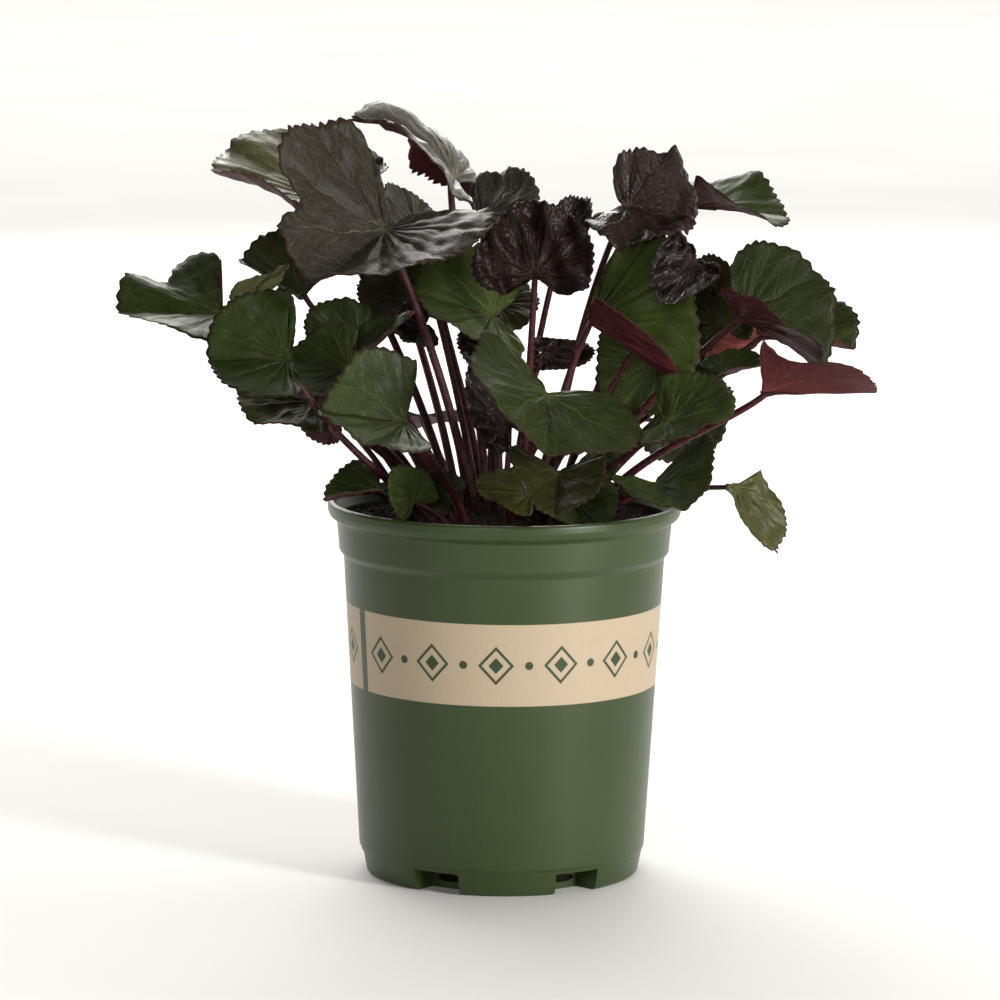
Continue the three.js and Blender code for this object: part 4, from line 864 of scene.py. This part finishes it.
stalkTree = petioleTree(stalkPlan)
leafPieces = []
stalkCopies = []
for number, plan in enumerate(leafPlan):
    leaf = completed(number, plan)
    blade, stalk = makeLeaf(leaf, stalkTree)
    copy = stalk.copy()
    copy.data = stalk.data.copy()
    bpy.context.scene.collection.objects.link(copy)
    stalkCopies.append(copy)
    piece = joined(blade, stalk)
    node = f"leaf_{number + 1:02d}"
    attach(piece, "root")
    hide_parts(node)
    leafPieces.append(piece)
print("stage: leaves,", sum(len(p.data.polygons) for p in leafPieces), "faces")

bristles = joined(*stalkCopies)
bristles.name = "stalkBristles"
bristles = grown(bristles, bristleTree(bristlePlan), {"Skin": bristleMaterial})
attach(bristles, "root")
print("stage: bristles,", len(bristles.data.polygons), "faces")


# The pot: turned walls, moulded drain pockets and slots, and a printed band

potPlan = {
    "outer": [  # (radius, height) of the outside, from under the floor up to the rim
        (0, 0), (62.6, 0), (64.3, 1.4), (66.3, 11.8), (66.9, 12.6), (74.9, 149.4), (77, 152.4), (78.2, 166),
        (81.5, 168.5), (82.5, 171), (82.5, 174), (81.8, 175), (80, 175), (0, 175)],
    "inner": [  # (radius, height) of the hollow, from the floor up past the rim
        (0, 2), (62.4, 2), (65.2, 13), (73.2, 150), (75.5, 153), (76.7, 168), (79.4, 172.5), (80, 175),
        (80, 180), (0, 180)],
    "rounding": 0.5, "segments": 192, "pockets": 6, "pocketTurn": 2.5, "pocketHalfAngle": 10,
    "pocketHeight": 10.3, "pocketBack": 52, "pocketReach": 90, "pocketDrop": 5, "wall": 1.6, "slotWidth": 13,
    "slotHeight": 3.6, "slotMiddle": 4.8, "slotDepth": 20,
}
bandPlan = {
    "bottom": 90.4, "top": 128.5, "radius": 72, "seamTurn": -62.6, "seamWidth": 5.2, "middle": 109.4,
    "motifs": 15, "motifWidth": 8.2, "motifHeight": 9.0, "line": 0.2, "core": 0.4, "dot": 1.88, "edge": 0.08,
    "wallSlope": 0.0585, "wallFoot": 64.9,  # the middle of the wall's thickness, as a radius by height
    "tan": "a8977f", "tanPale": "b0a08a", "ink": "2b3b22",
}
plasticPlan = {
    "deep": "293719", "fresh": "334320", "scuff": "7b8070", "scuffShow": 0.06, "rough": 0.3,
    "bandRough": 0.14, "shine": 0.4,
}


def roundedOutline(corners, radius, steps=3):  # the outline with its corners rounded off
    points = [corners[0]]
    for i in range(1, len(corners) - 1):
        here = Vector(corners[i])
        before, after = Vector(corners[i - 1]) - here, Vector(corners[i + 1]) - here
        cut = min(radius, before.length * 0.4, after.length * 0.4)
        start, end = here + before.normalized() * cut, here + after.normalized() * cut
        for step in range(steps + 1):
            t = step / steps
            points.append(tuple((1 - t) ** 2 * start + 2 * t * (1 - t) * here + t * t * end))
    points.append(corners[-1])
    return points


def latheGroup():  # turns a line of points about the upright axis
    tree, given, end = newTree("turnedWall", {"Points": ("Int", 10), "Segments": ("Int", 192)})
    across = calc(tree, "ADD", given["Segments"], 1.0)
    grid = addNode(tree, "GeometryNodeMeshGrid", {"Vertices X": across, "Vertices Y": given["Points"]})
    index = tree.nodes.new("GeometryNodeInputIndex").outputs[0]
    column = calc(tree, "FLOOR", calc(tree, "DIVIDE", calc(tree, "ADD", index, 0.5), given["Points"]))
    row = calc(tree, "ROUND", calc(tree, "SUBTRACT", index, calc(tree, "MULTIPLY", column, given["Points"])))
    place = tree.nodes.new("GeometryNodeInputPosition").outputs[0]
    profile = addNode(tree, "GeometryNodeSampleIndex", {
        "Geometry": given["Geometry"], "Index": row}, data_type="FLOAT_VECTOR", domain="POINT")
    tree.links.new(place, socketNamed(profile.inputs, "Value"))
    turn = calc(tree, "MULTIPLY", calc(tree, "DIVIDE", column, given["Segments"]), 2 * math.pi)
    spun = addNode(tree, "ShaderNodeVectorRotate", {"Vector": profile.outputs[0], "Angle": turn},
                   rotation_type="Z_AXIS").outputs[0]
    placed = addNode(tree, "GeometryNodeSetPosition", {"Geometry": grid.outputs[0], "Position": spun})
    closed = addNode(tree, "GeometryNodeMergeByDistance", {
        "Geometry": placed.outputs[0], "Distance": 0.000002})
    tree.links.new(closed.outputs[0], end.inputs[0])
    return tree


def socketNamed(sockets, name):  # the shown socket of that name
    return [s for s in sockets if s.name == name and s.enabled][0]


def blockGroup():  # an upright block between two radii, bent round the upright axis
    tree, given, end = newTree("bentBlock", {
        "Inner": ("Float", 0.05), "Outer": ("Float", 0.08), "Half Angle": ("Float", 0.2),
        "Bottom": ("Float", 0.0), "Top": ("Float", 0.01)})
    cube = addNode(tree, "GeometryNodeMeshCube", {"Size": (1, 1, 1), "Vertices X": 2, "Vertices Y": 13})
    place = tree.nodes.new("GeometryNodeInputPosition").outputs[0]
    x, y, z = addNode(tree, "ShaderNodeSeparateXYZ", {0: place}).outputs

    def between(value, low, high):
        span = calc(tree, "SUBTRACT", high, low)
        return calc(tree, "MULTIPLY_ADD", calc(tree, "ADD", value, 0.5), span, low)

    radius = between(x, given["Inner"], given["Outer"])
    turn = calc(tree, "MULTIPLY", y, calc(tree, "MULTIPLY", given["Half Angle"], 2.0))
    spot = addNode(tree, "ShaderNodeCombineXYZ", {
        "X": calc(tree, "MULTIPLY", radius, calc(tree, "COSINE", turn)),
        "Y": calc(tree, "MULTIPLY", radius, calc(tree, "SINE", turn)),
        "Z": between(z, given["Bottom"], given["Top"])}).outputs[0]
    bent = addNode(tree, "GeometryNodeSetPosition", {"Geometry": cube.outputs[0], "Position": spot})
    tree.links.new(bent.outputs[0], end.inputs[0])
    return tree


def grouped(tree, group, values):
    node = tree.nodes.new("GeometryNodeGroup")
    node.node_tree = group
    for name, value in values.items():
        if isinstance(value, bpy.types.NodeSocket):
            tree.links.new(value, node.inputs[name])
        else:
            node.inputs[name].default_value = value
    return node.outputs[0]


def aroundPot(tree, given, shape):  # one copy of a shape at every drain pocket
    spots = addNode(tree, "GeometryNodePoints", {"Count": given["Pockets"]}).outputs[0]
    index = tree.nodes.new("GeometryNodeInputIndex").outputs[0]
    step = calc(tree, "DIVIDE", 2 * math.pi, given["Pockets"])
    turn = calc(tree, "MULTIPLY_ADD", calc(tree, "ADD", index, 0.5), step, given["First Turn"])
    spin = addNode(tree, "ShaderNodeCombineXYZ", {"Z": turn}).outputs[0]
    copies = addNode(tree, "GeometryNodeInstanceOnPoints", {
        "Points": spots, "Instance": shape, "Rotation": spin})
    return addNode(tree, "GeometryNodeRealizeInstances", {"Geometry": copies.outputs[0]}).outputs[0]


def subtracted(tree, solid, *cutters):
    node = addNode(tree, "GeometryNodeMeshBoolean", operation="DIFFERENCE", solver="EXACT")
    tree.links.new(solid, node.inputs[0])
    for cutter in cutters:
        tree.links.new(cutter, node.inputs[1])
    return node.outputs[0]


def potTree(hollowLine, plan):  # the turned wall, less its hollow, its pockets and their slots
    tree, given, end = newTree("mouldedPot", {
        "Segments": ("Int", plan["segments"]), "Pockets": ("Int", plan["pockets"]),
        "First Turn": ("Float", math.radians(plan["pocketTurn"] - 90)), "Skin": ("Material", None)})
    lathe, block = latheGroup(), blockGroup()
    outerCount = len(roundedOutline(plan["outer"], plan["rounding"]))
    innerCount = len(roundedOutline(plan["inner"], plan["rounding"]))
    outside = grouped(tree, lathe, {"Geometry": given["Geometry"], "Points": outerCount,
                                    "Segments": given["Segments"]})
    line = addNode(tree, "GeometryNodeObjectInfo", {"Object": hollowLine}).outputs["Geometry"]
    inside = grouped(tree, lathe, {"Geometry": line, "Points": innerCount, "Segments": given["Segments"]})
    halfAngle = math.radians(plan["pocketHalfAngle"])
    wallAngle = 0.035  # how much wider, in radians, a pocket's housing is than the pocket
    back, wall, height = plan["pocketBack"] * mm, plan["wall"] * mm, plan["pocketHeight"] * mm
    reach, bottom = plan["pocketReach"] * mm, -plan["pocketDrop"] * mm
    housing = grouped(tree, block, {"Inner": back - wall, "Outer": reach, "Half Angle": halfAngle + wallAngle,
                                    "Bottom": bottom, "Top": height + wall})
    pocket = grouped(tree, block, {"Inner": back, "Outer": reach, "Half Angle": halfAngle,
                                   "Bottom": bottom, "Top": height})
    hole = addNode(tree, "GeometryNodeMeshCylinder", {
        "Vertices": 40, "Radius": 1.0, "Depth": plan["slotDepth"] * mm})
    slot = addNode(tree, "GeometryNodeTransform", {
        "Geometry": hole.outputs[0], "Translation": (back, 0, plan["slotMiddle"] * mm),
        "Rotation": (0, math.pi / 2, 0),
        "Scale": (plan["slotHeight"] / 2 * mm, plan["slotWidth"] / 2 * mm, 1)}).outputs[0]
    hollow = subtracted(tree, inside, aroundPot(tree, given, housing))
    walls = subtracted(tree, outside, hollow)
    cut = subtracted(tree, walls, aroundPot(tree, given, pocket))
    slotted = subtracted(tree, cut, aroundPot(tree, given, slot))
    crease = calc(tree, "GREATER_THAN", tree.nodes.new("GeometryNodeInputMeshEdgeAngle").outputs[0], 0.6)
    soft = calc(tree, "SUBTRACT", 1.0, crease)
    shaded = addNode(tree, "GeometryNodeSetShadeSmooth", {"Geometry": slotted}, domain="EDGE")
    tree.links.new(soft, shaded.inputs["Shade Smooth"])
    finishTree(tree, end, shaded.outputs[0], given["Skin"])
    return tree


def outlinePiece(name, corners):
    return linePiece(name, [(r * mm, 0, z * mm) for r, z in roundedOutline(corners, potPlan["rounding"])])


def bandMasks(tree, plan):  # where the printed band and its row of lozenges and dots lie
    place = addNode(tree, "ShaderNodeSeparateXYZ", {0: objectPoint(tree, 1000.0)}).outputs
    turn = calc(tree, "ARCTAN2", place["X"], calc(tree, "MULTIPLY", place["Y"], -1.0))  # 0 at the front
    height, edge = place["Z"], plan["edge"]
    radius = calc(tree, "POWER", calc(tree, "ADD", calc(tree, "POWER", place["X"], 2.0),
                                      calc(tree, "POWER", place["Y"], 2.0)), 0.5)
    midWall = calc(tree, "MULTIPLY_ADD", height, plan["wallSlope"], plan["wallFoot"])
    outside = calc(tree, "GREATER_THAN", radius, midWall)  # the hollow's side of the wall stays plain
    above = smoothStep(tree, height, plan["bottom"] - edge, plan["bottom"] + edge)
    below = calc(tree, "SUBTRACT", 1.0, smoothStep(tree, height, plan["top"] - edge, plan["top"] + edge))
    past = calc(tree, "SUBTRACT", turn, math.radians(plan["seamTurn"]))  # how far round from the seam
    seam = calc(tree, "MULTIPLY", calc(tree, "ABSOLUTE", past), plan["radius"])
    clear = smoothStep(tree, seam, plan["seamWidth"] / 2 - edge, plan["seamWidth"] / 2 + edge)
    band = calc(tree, "MULTIPLY", above, below)
    band = calc(tree, "MULTIPLY", band, calc(tree, "MULTIPLY", clear, outside))
    step = 2 * math.pi / plan["motifs"]
    cell = calc(tree, "SUBTRACT", calc(tree, "FRACT", calc(tree, "DIVIDE", past, step)), 0.5)
    aside = calc(tree, "ABSOLUTE", calc(tree, "MULTIPLY", cell, step * plan["radius"]))
    rise = calc(tree, "SUBTRACT", height, plan["middle"])
    lozenge = calc(tree, "ADD", calc(tree, "DIVIDE", aside, plan["motifWidth"]),
                   calc(tree, "DIVIDE", calc(tree, "ABSOLUTE", rise), plan["motifHeight"]))
    outer = calc(tree, "SUBTRACT", 1.0, smoothStep(tree, lozenge, 0.98, 1.02))
    inner = smoothStep(tree, lozenge, 0.98 - plan["line"], 1.02 - plan["line"])
    core = calc(tree, "SUBTRACT", 1.0, smoothStep(tree, lozenge, plan["core"], plan["core"] + 0.04))
    toDot = calc(tree, "SUBTRACT", step * plan["radius"] / 2, aside)
    dotReach = calc(tree, "POWER", calc(tree, "ADD", calc(tree, "POWER", toDot, 2.0),
                                        calc(tree, "POWER", rise, 2.0)), 0.5)
    dot = calc(tree, "SUBTRACT", 1.0, smoothStep(tree, dotReach, plan["dot"] - edge, plan["dot"] + edge))
    ink = calc(tree, "MAXIMUM", calc(tree, "MAXIMUM", calc(tree, "MULTIPLY", outer, inner), core), dot)
    return band, calc(tree, "MULTIPLY", ink, band)


def potSkin(plan):
    material, tree, shader = newMaterial("pottedGreenPlastic", specular=plan["shine"])
    band, ink = bandMasks(tree, bandPlan)
    fine = objectPoint(tree, 1000.0)
    scuff = noise(tree, fine, 0.25, 5.0, 0.65)
    green = tinted(tree, noise(tree, fine, 0.02, 2.0), paint(plan["deep"]), paint(plan["fresh"]))
    worn = calc(tree, "MULTIPLY", smoothStep(tree, scuff, 0.62, 0.8), plan["scuffShow"])
    green = tinted(tree, worn, green, paint(plan["scuff"]))
    tan = tinted(tree, noise(tree, fine, 0.6, 3.0), paint(bandPlan["tan"]), paint(bandPlan["tanPale"]))
    printed = tinted(tree, band, green, tan)
    tree.links.new(tinted(tree, ink, printed, paint(bandPlan["ink"])), shader.inputs["Base Color"])
    rough = calc(tree, "MULTIPLY_ADD", scuff, 0.1, plan["rough"])
    tree.links.new(calc(tree, "MULTIPLY_ADD", band, plan["bandRough"], rough), shader.inputs["Roughness"])
    grain = calc(tree, "MULTIPLY_ADD", noise(tree, fine, 3.0, 2.0), 0.3, calc(tree, "MULTIPLY", band, 0.6))
    bump(tree, shader, grain, 0.00006, 1.0)
    return material


hollowLine = outlinePiece("hollowLine", potPlan["inner"])
potLine = outlinePiece("nurseryPot", potPlan["outer"])
pot = grown(potLine, potTree(hollowLine, potPlan), {"Skin": potSkin(plasticPlan)})
bpy.data.objects.remove(hollowLine)
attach(pot, "root")
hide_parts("pot")
print("stage: pot,", len(pot.data.polygons), "faces")


# The potting soil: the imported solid, covered with crumbs, chips of bark and a few pale grains

soilPlan = {
    "radius": 75.2, "lift": 0.6, "rings": 20, "columns": 96, "crumbDensity": 260000.0, "chipDensity": 45000.0,
    "grainDensity": 2500.0, "seed": 11, "deep": "0d0a09", "fresh": "2b211b", "barkDeep": "1c130e",
    "bark": "3a2a20", "paleDeep": "8b8274", "pale": "b9b0a2",
}


def soilSkin(name, deep, fresh, roughness=0.92):
    material, tree, shader = newMaterial(name, roughness, 0.25)
    fine = objectPoint(tree, 1000.0)
    clump = noise(tree, fine, 0.35, 5.0, 0.65)
    grit = noise(tree, fine, 2.2, 3.0)
    tree.links.new(tinted(tree, smoothStep(tree, clump, 0.3, 0.75), paint(deep), paint(fresh)),
                   shader.inputs["Base Color"])
    bump(tree, shader, calc(tree, "MULTIPLY_ADD", grit, 0.5, clump), 0.0008, 1.0)
    return material


def scattered(tree, given, shape, density, smallest, largest, seed):  # copies all over the bed
    spots = addNode(tree, "GeometryNodeDistributePointsOnFaces", {
        "Mesh": given["Geometry"], "Density": density, "Seed": seed})
    turn = addNode(tree, "FunctionNodeRandomValue", {
        0: (-0.5, -0.5, 0.0), 1: (0.5, 0.5, 6.28), "Seed": seed}, data_type="FLOAT_VECTOR")
    grow = addNode(tree, "FunctionNodeRandomValue", {
        2: smallest, 3: largest, "Seed": seed + 1}, data_type="FLOAT")
    stretch = addNode(tree, "FunctionNodeRandomValue", {
        0: (0.7, 0.6, 0.5), 1: (1.5, 1.0, 1.0), "Seed": seed + 2}, data_type="FLOAT_VECTOR")
    size = addNode(tree, "ShaderNodeVectorMath", {
        0: stretch.outputs[0], "Scale": grow.outputs[1]}, operation="SCALE")
    copies = addNode(tree, "GeometryNodeInstanceOnPoints", {
        "Points": spots.outputs["Points"], "Instance": shape, "Rotation": turn.outputs[0],
        "Scale": size.outputs[0]})
    return addNode(tree, "GeometryNodeRealizeInstances", {"Geometry": copies.outputs[0]}).outputs[0]


def ragged(tree, shape, amount, scale):  # pushes a shape's points about so that no two look alike
    place = tree.nodes.new("GeometryNodeInputPosition").outputs[0]
    cloud = addNode(tree, "ShaderNodeTexNoise", {
        "Vector": place, "Scale": scale, "Detail": 2.0}).outputs["Color"]
    push = addNode(tree, "ShaderNodeVectorMath", {0: cloud, 1: (-0.5, -0.5, -0.5)}, operation="ADD")
    moved = addNode(tree, "ShaderNodeVectorMath", {0: push.outputs[0], "Scale": amount}, operation="SCALE")
    pushed = addNode(tree, "GeometryNodeSetPosition", {"Geometry": shape, "Offset": moved.outputs[0]})
    return pushed.outputs[0]


def soilTree(plan):
    tree, given, end = newTree("soilCover", {
        "Crumb Density": ("Float", plan["crumbDensity"]), "Chip Density": ("Float", plan["chipDensity"]),
        "Grain Density": ("Float", plan["grainDensity"]), "Soil": ("Material", None),
        "Bark": ("Material", None), "Pale": ("Material", None)})
    ball = addNode(tree, "GeometryNodeMeshIcoSphere", {"Radius": 1.0, "Subdivisions": 1}).outputs[0]
    chip = addNode(tree, "GeometryNodeMeshCube", {"Size": (2.4, 1.0, 0.35)}).outputs[0]
    seed = plan["seed"]
    crumbs = scattered(tree, given, ball, given["Crumb Density"], 0.0005, 0.0016, seed)
    chips = scattered(tree, given, chip, given["Chip Density"], 0.001, 0.0026, seed + 10)
    grains = scattered(tree, given, ball, given["Grain Density"], 0.0006, 0.0012, seed + 20)
    painted = []
    for shape, skin in ((crumbs, "Soil"), (chips, "Bark"), (grains, "Pale")):
        rough = ragged(tree, shape, 0.0012, 900.0)
        painted.append(addNode(tree, "GeometryNodeSetMaterial", {"Geometry": rough, "Material": given[skin]}))
    bed = addNode(tree, "GeometryNodeSetMaterial", {"Geometry": given["Geometry"], "Material": given["Soil"]})
    bed = ragged(tree, bed.outputs[0], 0.003, 160.0)
    cover = tree.nodes.new("GeometryNodeJoinGeometry")
    for part in painted:
        tree.links.new(part.outputs[0], cover.inputs[0])
    tree.links.new(bed, cover.inputs[0])
    realized = addNode(tree, "GeometryNodeRealizeInstances", {"Geometry": cover.outputs[0]}).outputs[0]
    tree.links.new(realized, end.inputs[0])
    return tree


def soilBed(plan):  # an open sheet just over the packed soil, which the crumbs lie on
    rings, columns = plan["rings"], plan["columns"]
    points, faces = [(0, 0, (soilHeight(0, 0) + plan["lift"]) * mm)], []
    for ring in range(1, rings + 1):
        radius = plan["radius"] * ring / rings
        for column in range(columns):
            turn = 2 * math.pi * column / columns
            x, y = radius * math.cos(turn), radius * math.sin(turn)
            points.append((x * mm, y * mm, (soilHeight(x, y) + plan["lift"]) * mm))
    for column in range(columns):
        faces.append((0, 1 + column, 1 + (column + 1) % columns))
    for ring in range(rings - 1):
        for column in range(columns):
            a = 1 + ring * columns + column
            b = 1 + ring * columns + (column + 1) % columns
            faces.append((a, a + columns, b + columns, b))
    return meshPiece("soilCrumbs", points, faces, [])


soilMaterial = soilSkin("pottingSoil", soilPlan["deep"], soilPlan["fresh"])
barkMaterial = soilSkin("barkChip", soilPlan["barkDeep"], soilPlan["bark"])
paleMaterial = soilSkin("paleGrain", soilPlan["paleDeep"], soilPlan["pale"], 0.8)
crumbs = grown(soilBed(soilPlan), soilTree(soilPlan), {
    "Soil": soilMaterial, "Bark": barkMaterial, "Pale": paleMaterial})
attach(crumbs, "root")
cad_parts["soil"].material_slots[0].material = soilMaterial
print("stage: soil,", len(crumbs.data.polygons), "faces")
